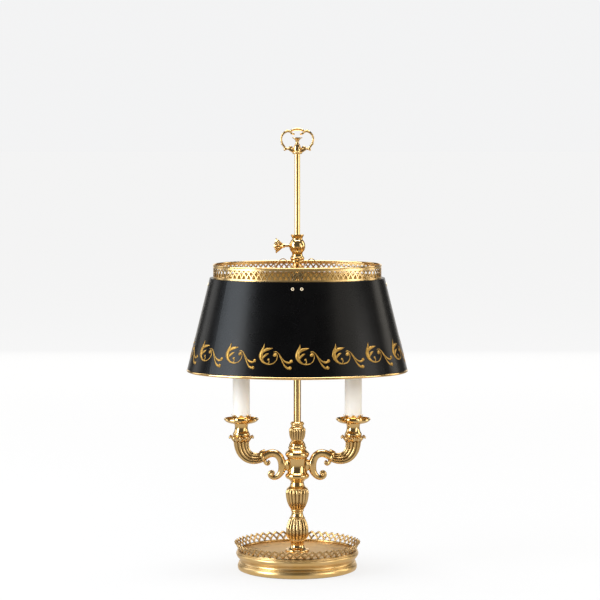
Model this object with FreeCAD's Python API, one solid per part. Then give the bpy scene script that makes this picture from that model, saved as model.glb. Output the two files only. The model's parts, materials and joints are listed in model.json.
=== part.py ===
"""Two-light bouillotte lamp: dished base, turned column, scroll arms, sliding oval shade.

Millimetres, +Z up, origin at the bottom centre of the base, front towards -Y.
"""
import FreeCAD, Part
import math
import os

# General fits
FIT = 0.08              # radial running fit of a turning or sliding piece
SEAT_GAP = 0.1          # axial play of a turning piece between its shoulders
LOOSE = 0.2             # radial room of a rod in the pieces it draws together

# Tie rod that draws the column together
ROD_THREAD_R = 5.0
NUT_ACROSS_FLATS = 17.0
NUT_H = 5.0
WASHER_R = 14.0
WASHER_T = 1.5
ROD_TAIL = 2.0          # thread showing below the nut

# Base
FELT_R = 86.6
FELT_T = 0.8
SHELL_FOOT_R = 88.2
SHELL_TORUS_R = 90.4
SHELL_TORUS_H = 10.5
SHELL_COVE_R = 86.1
SHELL_COVE_H = 8.3
SHELL_BEAD_R = 92.8
SHELL_BEAD_H = 9.8
SHELL_WALL = 1.7        # least wall, behind the cove
DISH_T = 2.0
DISH_R = 88.6
DISH_DEPTH = 2.5        # rim of the shell above the dish
DISH_INNER_R = 57.0
DISH_STEP = 0.5
BALLAST_R = 62.0
BALLAST_T = 10.0

# Pierced gallery round the base
TRAY_LOOPS = 52
TRAY_FOOT_R = 88.2
TRAY_FLARE = 7.4
TRAY_H = 16.0
TRAY_WALL = 1.5
TRAY_BAR = 1.8          # width of the loops' metal

# Cable inlet at the back
BUSH_BORE_R = 3.0
BUSH_BODY_R = 4.0
BUSH_FLANGE_R = 5.2
BUSH_FLANGE_T = 2.6
BUSH_TAIL = 3.0         # body behind the shell's wall

# Column, from the dish upwards
FOOT_R = 18.2
FOOT_NECK_R = 10.0
FOOT_H = 19.0
FLUTES = 24
FLUTE_DEPTH = 0.9
BALUSTER_R = 17.3
BALUSTER_NECK_R = 8.7
BALUSTER_H = 41.6
VASE_R = 17.8
VASE_NECK_R = 9.9
VASE_H = 45.3
HUB_FLANGE_R = 18.2
HUB_WAIST_R = 13.0
HUB_H = 49.6
CAP_R = 13.7
CAP_NECK_R = 8.7
CAP_H = 13.8
TOP_VASE_R = 12.7
TOP_VASE_LIP_R = 10.3
TOP_VASE_H = 28.2
SOCKET_DEPTH = 10.0     # how far the stem tube sits in the top vase

# Stem
TUBE_R = 5.5
TUBE_WALL = 1.05
TUBE_L = 158.0
FERRULE_R = 7.2
FERRULE_L = 14.0
STEM_R = 4.25
STEM_WALL = 1.0
STEM_TUCK = 22.0        # rod held inside the tube
STEM_SHOWN = 256.0      # rod above the tube

# Finial
FINIAL_BOSS_R = 7.6
FINIAL_BOSS_H = 4.2
BUD_CUP_R = 8.0
BUD_BALL_R = 5.6
BUD_NECK_R = 2.4
BUD_H = 25.0
RING_WIRE_R = 1.3
RING_HALF_W = 24.5
RING_H = 35.6
RING_TOP_HALF_W = 9.5
RING_LEAF_R = 2.1

# Candle branches
ARM_REACH = 84.6
ARM_TOP_R = 11.0
ARM_RISE = 38.2         # branch top above the hub's middle
ARM_FLUTES = 12
SCROLL_SPAN = 39.4      # hub's seat to the end of the fluted elbow
SCROLL_R = 5.1
VOLUTE_R = 6.1
VOLUTE_W = 11.0
CURL_R = 4.3
ARM_PAD_R = 5.4
PAD_SINK = 0.8          # branch's seat cut into the hub's waist
ARM_SCREW_R = 2.0
ARM_SCREW_HEAD_R = 3.8
ARM_SCREW_HEAD_H = 2.2
COLLAR_R = 18.7
COLLAR_H = 7.2
COLLAR_SCALLOPS = 12
CUP_R = 12.9
CUP_NECK_R = 9.8
CUP_H = 19.5
PAN_R = 26.4
PAN_T = 1.4
PAN_RISE = 5.6
CROWN_POINTS = 12
CROWN_WALL = 1.0
CROWN_H = 12.0
NIPPLE_R = 4.8
NIPPLE_TAIL = 8.0       # nipple sunk into the branch

# Candle sleeves, lampholders and bulbs
SLEEVE_R = 12.8
SLEEVE_WALL = 1.0
SLEEVE_L = 92.0
HOLDER_R = 11.3
HOLDER_L = 40.0
HOLDER_WALL = 3.6
HOLDER_FLOOR = 14.0
HOLDER_DROP = 2.0       # holder's mouth below the sleeve's
BULB_R = 17.5
BULB_NECK_R = 6.6
BULB_L = 76.0
CAP_SCREW_R = 6.9
CAP_SCREW_L = 22.0

# Clamp collar that slides on the stem
CLAMP_Z = 455.0         # underside of the collar's spigot in the shown position
CLAMP_BALL_R = 12.3
CLAMP_BALL_Z = 36.4     # ball's middle above the spigot's underside
CLAMP_LIP_R = 10.1
CLAMP_RING_R = 10.7
CLAMP_NECK_R = 7.7
CLAMP_H = 53.4
SPIGOT_R = 7.0
SPIGOT_L = 11.0
NUT_RING_R = 10.4
NUT_RING_H = 5.0
NUT_NOTCHES = 6

# Thumbscrew
SHANK_R = 2.2
SHANK_GAP = 0.3         # tip to the stem
SHANK_END_X = 23.5
ROSETTE_R = 11.4
ROSETTE_PETALS = 8
ROSETTE_L = 17.4
ROSETTE_START_X = 18.6

# Oval shade
OVAL_END = 0.8          # end arcs' radius as a share of the oval's half depth
LEDGE_X = 5.4           # ledge outside the gallery, at the ends
LEDGE_Y = 3.8           # ledge outside the gallery, in front and behind
SHADE_FLARE_X = 34.0
SHADE_FLARE_Y = 25.1
SHADE_WALL = 0.8
SHADE_H = 136.6
SHADE_BEAD_R = 2.0
SHADE_DROP = 13.0       # top of the wall below the spigot's underside

# Pierced gallery on the shade
CROWN_BAYS = 84
CROWN_HALF_X = 126.6
CROWN_HALF_Y = 93.6
CROWN_BAND_H = 19.4
CROWN_BAND_T = 0.9
RAIL_R = 1.3
CROWN_LEDGE_T = 1.0
BAY_BAR = 1.9
BAY_SILL = 4.6
BAY_HEAD = 2.6

# Bridge that carries the shade
BRIDGE_W = 20.0
BRIDGE_T = 1.6
BRIDGE_HUB_R = 13.0
BRIDGE_HUMP_X = 21.0
BRIDGE_HUMP_RISE = 7.0
BRIDGE_FALL = 13.0      # hump's middle to the start of the long fall
BRIDGE_SHELF = 11.0     # level end of an arm under the ledge
BRIDGE_TAB_L = 17.0
RIVET_R = 2.3
RIVET_BORE_R = 1.1
RIVET_WALL = 0.5
RIVET_HEAD_T = 0.8
RIVET_REACH = 6.0
RIVET_PITCH = 13.5
RIVET_DROP = 9.0        # rivets below the shade's top edge

# Heights that follow from the sizes above
shell_z = FELT_T
torus_z = shell_z + SHELL_TORUS_H
cove_z = torus_z + SHELL_COVE_H
shell_top_z = cove_z + SHELL_BEAD_H
dish_z = shell_top_z - DISH_DEPTH
foot_z = dish_z + DISH_STEP
baluster_z = foot_z + FOOT_H
vase_z = baluster_z + BALUSTER_H
hub_z = vase_z + VASE_H
cap_z = hub_z + HUB_H
top_vase_z = cap_z + CAP_H
column_top_z = top_vase_z + TOP_VASE_H
tube_z = column_top_z - SOCKET_DEPTH
tube_top_z = tube_z + TUBE_L
stem_top_z = tube_top_z + STEM_SHOWN
ballast_z = dish_z - DISH_T - BALLAST_T
washer_z = ballast_z - WASHER_T
nut_z = washer_z - NUT_H
rod_z = nut_z - ROD_TAIL
hub_mid_z = hub_z + HUB_H / 2
arm_top_z = hub_mid_z + ARM_RISE
candle_collar_z = arm_top_z
cup_z = candle_collar_z + COLLAR_H
pan_z = cup_z + CUP_H
sleeve_z = pan_z + PAN_T
sleeve_top_z = sleeve_z + SLEEVE_L
holder_top_z = sleeve_top_z - HOLDER_DROP
holder_z = holder_top_z - HOLDER_L
shade_top_z = CLAMP_Z - SHADE_DROP
shade_bottom_z = shade_top_z - SHADE_H
shade_top_x = CROWN_HALF_X + LEDGE_X
shade_top_y = CROWN_HALF_Y + LEDGE_Y
shade_bottom_x = shade_top_x + SHADE_FLARE_X
shade_bottom_y = shade_top_y + SHADE_FLARE_Y
pad_x = HUB_WAIST_R - PAD_SINK
elbow_x = pad_x + SCROLL_SPAN
screw_head_x = pad_x + SCROLL_SPAN * 0.315
bore_r = ROD_THREAD_R + LOOSE

UP = FreeCAD.Vector(0, 0, 1)
ORIGIN = FreeCAD.Vector(0, 0, 0)


def vec(x, y, z):
    """Vector of three numbers."""
    return FreeCAD.Vector(x, y, z)


def outline(steps):
    """Closed wire in the XZ plane.

    A step of two numbers draws a line to (x, z); a step of four draws an arc
    through the first pair to the second.
    """
    here = vec(steps[0][0], 0, steps[0][1])
    start = here
    edges = []
    for step in steps[1:]:
        end = vec(step[-2], 0, step[-1])
        if len(step) == 4:
            edges.append(Part.Arc(here, vec(step[0], 0, step[1]), end).toShape())
        else:
            edges.append(Part.makeLine(here, end))
        here = end
    if (here - start).Length > 1e-6:
        edges.append(Part.makeLine(here, start))
    return Part.Wire(edges)


def turned(steps, z=0.0):
    """Solid of revolution about Z, its outline given in (radius, height)."""
    solid = Part.Face(outline(steps)).revolve(ORIGIN, UP, 360)
    solid.translate(vec(0, 0, z))
    return solid


def rod(radius, length, base, direction=UP):
    """Round bar from a base point along a direction."""
    return Part.makeCylinder(radius, length, base, direction)


def pipe(radius, bore, length, base, direction=UP):
    """Round tube from a base point along a direction."""
    return rod(radius, length, base, direction).cut(rod(bore, length, base, direction))


def around(shape, count, centre=ORIGIN, axis=UP, first=0.0):
    """Copies of a shape at equal turns about an axis."""
    copies = []
    for index in range(count):
        copy = shape.copy()
        copy.rotate(centre, axis, first + 360.0 * index / count)
        copies.append(copy)
    return copies


def fluted_wire(radius, z, count, depth):
    """Closed ring of hollow flutes at one height."""
    half = math.pi / count
    points = []
    for index in range(count):
        middle = 2 * index * half
        for angle, reach in ((middle - half, radius), (middle, radius - depth)):
            points.append(vec(reach * math.cos(angle), reach * math.sin(angle), z))
    edges = []
    for index in range(count):
        start = points[2 * index]
        end = points[(2 * index + 2) % len(points)]
        edges.append(Part.Arc(start, points[2 * index + 1], end).toShape())
    return Part.Wire(edges)


def fluted(sections, count, depth):
    """Ruled loft through fluted rings given as (radius, height)."""
    wires = [fluted_wire(radius, z, count, depth * radius / sections[0][0]) for radius, z in sections]
    return Part.makeLoft(wires, True, True)


def oval(half_x, half_y, z, inset=0.0):
    """Oval wire of two end arcs and two side arcs, drawn in by an inset."""
    end_r = half_y * OVAL_END
    side_r = (half_x**2 + half_y**2 - 2 * half_x * end_r) / (2 * (half_y - end_r))
    end_x = half_x - end_r
    side_y = side_r - half_y
    lean = math.degrees(math.atan2(side_y, end_x))
    arcs = [
        (end_r, end_x, 0, -lean, lean),
        (side_r, 0, -side_y, lean, 180 - lean),
        (end_r, -end_x, 0, 180 - lean, 180 + lean),
        (side_r, 0, side_y, 180 + lean, 360 - lean),
    ]
    return Part.Wire([Part.makeCircle(r - inset, vec(x, y, z), UP, start, end) for r, x, y, start, end in arcs])


def oval_solid(lower, upper, inset=0.0):
    """Tapered oval block between two ovals given as (half_x, half_y, z)."""
    return Part.makeLoft([oval(*lower, inset), oval(*upper, inset)], True, True)


def oval_rail(half_x, half_y, z, radius):
    """Round wire bent to an oval."""
    path = oval(half_x, half_y, z)
    first = path.Edges[0]
    start = first.valueAt(first.FirstParameter)
    return path.makePipe(round_face(radius, start, first.tangentAt(first.FirstParameter)))


def round_face(radius, centre, normal):
    """Flat disc."""
    return Part.Face(Part.Wire(Part.makeCircle(radius, centre, normal)))


def mirrored(shape):
    """The same piece on the other side of the lamp."""
    return shape.mirror(ORIGIN, vec(1, 0, 0))


def base_shell():
    """Spun skirt of the base: torus foot, cove and upper bead."""
    inner_r = SHELL_COVE_R - SHELL_WALL
    seat_z = dish_z - DISH_T
    bead_foot_r = (SHELL_COVE_R + SHELL_BEAD_R) / 2 + 0.7
    steps = [
        (inner_r, shell_z),
        (SHELL_FOOT_R, shell_z),
        (SHELL_TORUS_R, shell_z + SHELL_TORUS_H / 2, SHELL_FOOT_R, torus_z),
        (SHELL_COVE_R, torus_z + SHELL_COVE_H * 0.35, bead_foot_r, cove_z),
        (SHELL_BEAD_R, cove_z + SHELL_BEAD_H / 2, DISH_R + 2.4, shell_top_z),
        (DISH_R + LOOSE / 2, shell_top_z),
        (DISH_R + LOOSE / 2, seat_z),
        (inner_r, seat_z),
    ]
    shell = turned(steps)
    spot_y = SHELL_COVE_R - 0.1
    bush_z = bush_height()
    hole = rod(BUSH_BODY_R + FIT, SHELL_BEAD_R, vec(0, inner_r - SHELL_WALL, bush_z), vec(0, 1, 0))
    spot = rod(BUSH_FLANGE_R + LOOSE, SHELL_BEAD_R, vec(0, spot_y, bush_z), vec(0, 1, 0))
    return shell.cut(Part.makeCompound([hole, spot]))


def bush_height():
    """Height of the cable inlet, in the middle of the cove."""
    return torus_z + SHELL_COVE_H * 0.35


def cable_bush():
    """Flanged bush of the cable inlet in the back of the skirt."""
    spot_y = SHELL_COVE_R - 0.1
    tail_y = SHELL_COVE_R - SHELL_WALL - BUSH_TAIL
    z = bush_height()
    back = vec(0, 1, 0)
    body = rod(BUSH_BODY_R, spot_y - tail_y, vec(0, tail_y, z), back)
    flange = rod(BUSH_FLANGE_R, BUSH_FLANGE_T, vec(0, spot_y, z), back)
    bore = rod(BUSH_BORE_R, spot_y + BUSH_FLANGE_T - tail_y, vec(0, tail_y, z), back)
    return body.fuse(flange).cut(bore)


def base_dish():
    """Dished top plate with a raised smooth middle."""
    under_z = dish_z - DISH_T
    return turned([
        (bore_r, under_z),
        (DISH_R, under_z),
        (DISH_R, dish_z),
        (DISH_INNER_R + 1.2, dish_z),
        (DISH_INNER_R, foot_z),
        (bore_r, foot_z),
    ])


def tray_gallery():
    """Flared gallery of interlaced pointed loops round the base."""
    top_r = TRAY_FOOT_R + TRAY_FLARE
    ring = faceted_ring([
        (TRAY_FOOT_R - TRAY_WALL, 0),
        (TRAY_FOOT_R, 0),
        (TRAY_FOOT_R, DISH_DEPTH),
        (top_r, TRAY_H),
        (top_r - TRAY_WALL, TRAY_H),
        (TRAY_FOOT_R - TRAY_WALL, DISH_DEPTH),
    ], TRAY_LOOPS)
    half_pitch = math.pi * top_r / TRAY_LOOPS
    cross_z = (DISH_DEPTH + TRAY_H) / 2
    eye_top = TRAY_H - TRAY_BAR
    eye = [
        (0, cross_z - TRAY_BAR),
        (half_pitch - TRAY_BAR * 0.6, cross_z + TRAY_BAR),
        (half_pitch * 0.4, eye_top),
        (-half_pitch * 0.4, eye_top),
        (-half_pitch + TRAY_BAR * 0.6, cross_z + TRAY_BAR),
    ]
    foot_eye = [
        (0, cross_z - TRAY_BAR * 0.4),
        (-half_pitch * 0.5, DISH_DEPTH + TRAY_BAR * 0.4),
        (half_pitch * 0.5, DISH_DEPTH + TRAY_BAR * 0.4),
    ]
    notch = [
        (0, cross_z + TRAY_BAR * 2.2),
        (half_pitch * 0.4, TRAY_H + TRAY_BAR),
        (-half_pitch * 0.4, TRAY_H + TRAY_BAR),
    ]
    start_r = TRAY_FOOT_R - 2 * TRAY_WALL
    depth = TRAY_FLARE + 4 * TRAY_WALL
    cutters = around(radial_prism(eye, start_r, depth), TRAY_LOOPS)
    half_turn = 180.0 / TRAY_LOOPS
    cutters += around(radial_prism(foot_eye, start_r, depth), TRAY_LOOPS, first=half_turn)
    cutters += around(radial_prism(notch, start_r, depth), TRAY_LOOPS, first=half_turn)
    gallery = ring.cut(Part.makeCompound(cutters))
    gallery.translate(vec(0, 0, dish_z))
    return gallery


def faceted_ring(profile, count):
    """Ring of flat panels, its section given in (radius, height)."""
    half = math.pi / count
    rings = []
    for radius, z in profile:
        angles = [half * (2 * index - 1) for index in range(count)]
        rings.append([vec(radius * math.cos(a), radius * math.sin(a), z) for a in angles])
    faces = []
    for lower, upper in zip(rings, rings[1:] + rings[:1]):
        for index in range(count):
            after = (index + 1) % count
            corners = [lower[index], lower[after], upper[after], upper[index], lower[index]]
            faces.append(Part.Face(Part.makePolygon(corners)))
    return Part.makeSolid(Part.makeShell(faces))


def radial_prism(points, start_r, depth):
    """Prism along X of a polygon given as (side, height)."""
    corners = [vec(start_r, side, z) for side, z in points]
    corners.append(corners[0])
    return Part.Face(Part.makePolygon(corners)).extrude(vec(depth, 0, 0))


def base_nut():
    """Hexagon nut under the ballast."""
    corner_r = NUT_ACROSS_FLATS / math.sqrt(3)
    corners = [vec(corner_r * math.cos(math.radians(60 * k)), corner_r * math.sin(math.radians(60 * k)), nut_z)
               for k in range(7)]
    block = Part.Face(Part.makePolygon(corners)).extrude(vec(0, 0, NUT_H))
    return block.cut(rod(ROD_THREAD_R + FIT, NUT_H, vec(0, 0, nut_z)))


def column_foot():
    """Flanged foot of the column."""
    return turned([
        (bore_r, 0),
        (FOOT_R - 0.6, 0),
        (FOOT_R, FOOT_H * 0.09, FOOT_R - 1.0, FOOT_H * 0.17),
        (FOOT_R * 0.72, FOOT_H * 0.24, FOOT_NECK_R, FOOT_H * 0.48),
        (FOOT_NECK_R, FOOT_H * 0.78),
        (FOOT_NECK_R + 2.0, FOOT_H * 0.84),
        (FOOT_NECK_R + 2.0, FOOT_H),
        (bore_r, FOOT_H),
    ], foot_z)


def drilled(shape, z, height, radius=bore_r):
    """Shape with a hole along the column's axis."""
    return shape.cut(rod(radius, height, vec(0, 0, z)))


def lower_baluster():
    """Fluted bulb that narrows to a smooth neck."""
    body = fluted([
        (BALUSTER_R * 0.78, 0),
        (BALUSTER_R * 0.96, BALUSTER_H * 0.11),
        (BALUSTER_R, BALUSTER_H * 0.24),
        (BALUSTER_R * 0.97, BALUSTER_H * 0.40),
        (BALUSTER_R * 0.86, BALUSTER_H * 0.58),
        (BALUSTER_R * 0.66, BALUSTER_H * 0.76),
    ], FLUTES, FLUTE_DEPTH)
    neck_z = BALUSTER_H * 0.76
    neck = turned([
        (0, neck_z),
        (BALUSTER_R * 0.67, neck_z),
        (BALUSTER_NECK_R, BALUSTER_H * 0.88, BALUSTER_NECK_R, BALUSTER_H),
        (0, BALUSTER_H),
    ])
    whole = body.fuse(neck)
    whole.translate(vec(0, 0, baluster_z))
    return drilled(whole, baluster_z, BALUSTER_H)


def upper_vase():
    """Fluted vase under the arm hub, with a beaded shoulder."""
    fluted_top = VASE_H * 0.70
    body = fluted([
        (VASE_R * 0.54, VASE_H * 0.06),
        (VASE_R * 0.68, VASE_H * 0.16),
        (VASE_R * 0.88, VASE_H * 0.34),
        (VASE_R * 0.98, VASE_H * 0.53),
        (VASE_R, VASE_H * 0.62),
        (VASE_R * 0.96, fluted_top),
    ], FLUTES, FLUTE_DEPTH)
    foot = turned([
        (0, 0),
        (BALUSTER_NECK_R, 0),
        (VASE_R * 0.54, VASE_H * 0.06),
        (0, VASE_H * 0.06),
    ])
    shoulder = turned([
        (0, fluted_top),
        (VASE_R * 0.96, fluted_top),
        (VASE_R * 0.97, VASE_H * 0.75, VASE_R * 0.84, VASE_H * 0.78),
        (VASE_R * 0.76, VASE_H * 0.80),
        (VASE_R * 0.72, VASE_H * 0.83),
        (VASE_NECK_R, VASE_H * 0.90, VASE_NECK_R, VASE_H),
        (0, VASE_H),
    ])
    whole = body.fuse([foot, shoulder])
    whole.translate(vec(0, 0, vase_z))
    return drilled(whole, vase_z, VASE_H)


def arm_hub():
    """Spool between the vases that the branches are screwed to."""
    groove_r = HUB_FLANGE_R * 0.9
    hub = turned([
        (bore_r, 0),
        (VASE_NECK_R, 0),
        (VASE_NECK_R + 2.4, 3.0),
        (HUB_FLANGE_R * 0.8, 4.6),
        (HUB_FLANGE_R, 9.0, groove_r, 13.0),
        (groove_r - 1.2, 14.2),
        (HUB_WAIST_R, HUB_H / 2, groove_r - 1.2, HUB_H - 13.2),
        (groove_r, HUB_H - 11.6),
        (HUB_FLANGE_R, HUB_H - 7.0, groove_r, HUB_H - 3.2),
        (CAP_R - 1.0, HUB_H),
        (bore_r, HUB_H),
    ], hub_z)
    flats = [
        rod(ARM_PAD_R + LOOSE, HUB_FLANGE_R, vec(pad_x, 0, hub_mid_z), vec(1, 0, 0)),
        rod(ARM_PAD_R + LOOSE, HUB_FLANGE_R, vec(-pad_x, 0, hub_mid_z), vec(-1, 0, 0)),
        rod(ARM_SCREW_R + FIT, 2 * HUB_FLANGE_R, vec(-HUB_FLANGE_R, 0, hub_mid_z), vec(1, 0, 0)),
    ]
    return hub.cut(Part.makeCompound(flats))


def hub_cap():
    """Stepped collar above the hub."""
    return turned([
        (bore_r, 0),
        (CAP_R - 1.0, 0),
        (CAP_R, CAP_H * 0.2, CAP_R - 1.2, CAP_H * 0.36),
        (CAP_R - 1.3, CAP_H * 0.54),
        (CAP_NECK_R + 2.0, CAP_H * 0.78, CAP_NECK_R, CAP_H),
        (bore_r, CAP_H),
    ], cap_z)


def top_vase():
    """Small fluted vase that holds the stem tube."""
    fluted_top = TOP_VASE_H * 0.66
    body = fluted([
        (TOP_VASE_R * 0.76, TOP_VASE_H * 0.04),
        (TOP_VASE_R * 0.88, TOP_VASE_H * 0.17),
        (TOP_VASE_R * 0.97, TOP_VASE_H * 0.34),
        (TOP_VASE_R, TOP_VASE_H * 0.54),
        (TOP_VASE_R * 0.96, fluted_top),
    ], FLUTES, FLUTE_DEPTH * 0.7)
    foot = turned([
        (0, 0),
        (CAP_NECK_R, 0),
        (TOP_VASE_R * 0.76, TOP_VASE_H * 0.04),
        (0, TOP_VASE_H * 0.04),
    ])
    lip = turned([
        (0, fluted_top),
        (TOP_VASE_R * 0.96, fluted_top),
        (TOP_VASE_LIP_R - 1.0, TOP_VASE_H * 0.74, TOP_VASE_LIP_R - 1.2, TOP_VASE_H * 0.82),
        (TOP_VASE_LIP_R, TOP_VASE_H * 0.91, TOP_VASE_LIP_R - 1.0, TOP_VASE_H),
        (0, TOP_VASE_H),
    ])
    whole = body.fuse([foot, lip])
    whole.translate(vec(0, 0, top_vase_z))
    whole = drilled(whole, top_vase_z, TOP_VASE_H)
    return drilled(whole, tube_z, SOCKET_DEPTH, TUBE_R + FIT)


def stem_ferrule():
    """Turned sleeve where the thin rod leaves the thick tube."""
    bottom = tube_top_z - FERRULE_L / 2
    sleeve = turned([
        (TUBE_R + FIT, 0),
        (FERRULE_R, 0),
        (FERRULE_R, FERRULE_L * 0.6),
        (STEM_R + 1.6, FERRULE_L),
        (STEM_R + FIT, FERRULE_L),
        (STEM_R + FIT, FERRULE_L / 2),
        (TUBE_R + FIT, FERRULE_L / 2),
    ], bottom)
    return sleeve


def finial_bud():
    """Small vase knob inside the finial's loop."""
    ball_z = FINIAL_BOSS_H + BUD_BALL_R
    neck_z = ball_z + BUD_BALL_R + 0.6
    return turned([
        (0, 0),
        (STEM_R + 1.2, 0),
        (FINIAL_BOSS_R, FINIAL_BOSS_H * 0.6, STEM_R + 1.4, FINIAL_BOSS_H),
        (BUD_BALL_R, ball_z, BUD_NECK_R + 0.6, neck_z - 0.6),
        (BUD_NECK_R, neck_z + 1.0),
        (BUD_NECK_R + 0.6, neck_z + 4.0, BUD_CUP_R, BUD_H - 1.0),
        (BUD_CUP_R - 0.4, BUD_H),
        (0, BUD_H - 0.8),
    ], stem_top_z)


def bent_bar(radius, start, through, end):
    """Round bar bent to the arc through three points."""
    circle = Part.Circle(start, through, end)
    turn = Part.Arc(start, through, end)
    sweep = math.degrees(turn.LastParameter - turn.FirstParameter)
    axis = (start - circle.Center).cross(through - circle.Center)
    heading = axis.cross(start - circle.Center)
    return round_face(radius, start, heading).revolve(circle.Center, axis, sweep)


def finial_ring():
    """Pierced loop of two side scrolls and a top scroll."""
    foot = stem_top_z + FINIAL_BOSS_H * 0.6
    top_z = foot + RING_H
    shoulder = vec(-RING_TOP_HALF_W - 2.8, 0, top_z - 4.2)
    corner = vec(-RING_HALF_W * 0.72, 0, foot + 5.2)
    inside = vec(-BUD_BALL_R + 1.2, 0, foot + 0.8)
    arch_end = vec(-RING_TOP_HALF_W, 0, top_z - 3.6)
    arch_far = vec(RING_TOP_HALF_W, 0, top_z - 3.6)
    curl_end = arch_end + vec(3.4, 0, -4.0)
    thick = RING_WIRE_R * 1.15
    half = [
        bent_bar(RING_WIRE_R, shoulder, vec(-RING_HALF_W, 0, foot + RING_H * 0.55), corner),
        bent_bar(RING_WIRE_R, corner, vec(-RING_HALF_W * 0.5, 0, foot + 2.0), inside),
        bent_bar(thick, arch_end, arch_end + vec(0.4, 0, -3.2), curl_end),
        Part.makeSphere(RING_LEAF_R, shoulder + vec(1.4, 0, 0.3)),
        Part.makeSphere(RING_LEAF_R * 0.9, corner),
        Part.makeSphere(RING_LEAF_R * 0.85, curl_end),
    ]
    arch = bent_bar(thick, arch_end, vec(0, 0, top_z), arch_far)
    ring = arch.fuse(half + [mirrored(piece) for piece in half])
    return ring.cut(finial_bud())


def tilted_ring(radius, place, angle, count=0, depth=0.0):
    """Round or fluted ring whose plane is turned about Y by an angle in degrees."""
    if count:
        wire = fluted_wire(radius, 0, count, depth)
    else:
        wire = Part.Wire(Part.makeCircle(radius, ORIGIN, UP))
    wire.rotate(ORIGIN, vec(0, 1, 0), angle)
    wire.translate(vec(place[0], 0, place[1]))
    return wire


def scroll_point(across, up):
    """Place in the branch's plane, as shares of the scroll's span and the branch's rise."""
    return pad_x + SCROLL_SPAN * across, hub_mid_z + ARM_RISE * up


def elbow_point(across, up):
    """Place in the branch's plane, as shares of the elbow's span and the branch's rise."""
    return elbow_x + (ARM_REACH - elbow_x) * across, hub_mid_z + ARM_RISE * up


def branch():
    """Right-hand candle branch: fluted elbow, scroll and volutes."""
    elbow = [
        (1.00, 0, elbow_point(1.0, 1.0)),
        (0.93, 12, elbow_point(0.973, 0.725)),
        (0.83, 38, elbow_point(0.836, 0.463)),
        (0.74, 66, elbow_point(0.606, 0.309)),
        (0.67, 96, elbow_point(0.291, 0.277)),
        (0.62, 112, elbow_point(0.0, 0.346)),
    ]
    rings = [tilted_ring(ARM_TOP_R * size, place, angle, ARM_FLUTES, FLUTE_DEPTH) for size, angle, place in elbow]
    fluted_part = Part.makeLoft(rings, True, False)
    scroll = [
        (1.12, 112, scroll_point(1.0, 0.346)),
        (1.00, 98, scroll_point(0.706, 0.529)),
        (1.00, 62, scroll_point(0.477, 0.471)),
        (1.00, 30, scroll_point(0.299, 0.283)),
        (1.00, -6, scroll_point(0.259, -0.005)),
        (0.88, -30, scroll_point(0.340, -0.298)),
        (0.70, -58, scroll_point(0.472, -0.450)),
        (0.56, -86, scroll_point(0.614, -0.492)),
    ]
    rings = [tilted_ring(SCROLL_R * size, place, angle) for size, angle, place in scroll]
    scroll_part = Part.makeLoft(rings, True, False)
    volute_x, volute_z = scroll_point(0.665, -0.351)
    volute = rod(VOLUTE_R, VOLUTE_W, vec(volute_x, -VOLUTE_W / 2, volute_z), vec(0, 1, 0))
    volute_eye = Part.makeSphere(VOLUTE_R * 0.5, vec(volute_x, -VOLUTE_W / 2, volute_z))
    curl_x, curl_z = scroll_point(0.853, 0.131)
    curl = rod(CURL_R, VOLUTE_W * 0.9, vec(curl_x, -VOLUTE_W * 0.45, curl_z), vec(0, 1, 0))
    pad = rod(ARM_PAD_R, screw_head_x - pad_x, vec(pad_x, 0, hub_mid_z), vec(1, 0, 0))
    whole = fluted_part.fuse([scroll_part, volute, curl, pad, volute_eye])
    screw = rod(ARM_SCREW_R + FIT, screw_head_x, vec(0, 0, hub_mid_z), vec(1, 0, 0))
    head_room = rod(ARM_SCREW_HEAD_R + LOOSE, SCROLL_R, vec(screw_head_x, 0, hub_mid_z), vec(1, 0, 0))
    nipple = rod(NIPPLE_R + LOOSE, NIPPLE_TAIL, vec(ARM_REACH, 0, arm_top_z - NIPPLE_TAIL))
    return whole.cut(Part.makeCompound([screw, head_room, nipple]))


def arm_screws():
    """Screws that hold the two branches to the hub."""
    thread_start = ROD_THREAD_R + 1.0
    shank = rod(ARM_SCREW_R, screw_head_x - thread_start, vec(thread_start, 0, hub_mid_z), vec(1, 0, 0))
    head = rod(ARM_SCREW_HEAD_R, ARM_SCREW_HEAD_H, vec(screw_head_x, 0, hub_mid_z), vec(1, 0, 0))
    screw = shank.fuse(head)
    return Part.makeCompound([screw, mirrored(screw)])


def candle_collar():
    """Scalloped leaf collar on the branch."""
    ring = turned([
        (NIPPLE_R + LOOSE, 0),
        (ARM_TOP_R + 0.6, 0),
        (COLLAR_R, COLLAR_H * 0.62),
        (COLLAR_R - 0.8, COLLAR_H * 0.78),
        (CUP_R, COLLAR_H),
        (NIPPLE_R + LOOSE, COLLAR_H),
    ])
    scallop = rod(COLLAR_R * 0.14, COLLAR_H * 1.2, vec(COLLAR_R * 1.02, 0, -COLLAR_H * 0.1))
    ring = ring.cut(Part.makeCompound(around(scallop, COLLAR_SCALLOPS)))
    ring.translate(vec(ARM_REACH, 0, candle_collar_z))
    return ring


def candle_cup():
    """Waisted cup under the drip pan."""
    cup = turned([
        (NIPPLE_R + LOOSE, 0),
        (CUP_R - 0.4, 0),
        (CUP_R, CUP_H * 0.14, CUP_R * 0.93, CUP_H * 0.26),
        (CUP_NECK_R, CUP_H * 0.62, CUP_NECK_R + 1.6, CUP_H),
        (NIPPLE_R + LOOSE, CUP_H),
    ])
    cup.translate(vec(ARM_REACH, 0, cup_z))
    return cup


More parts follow.
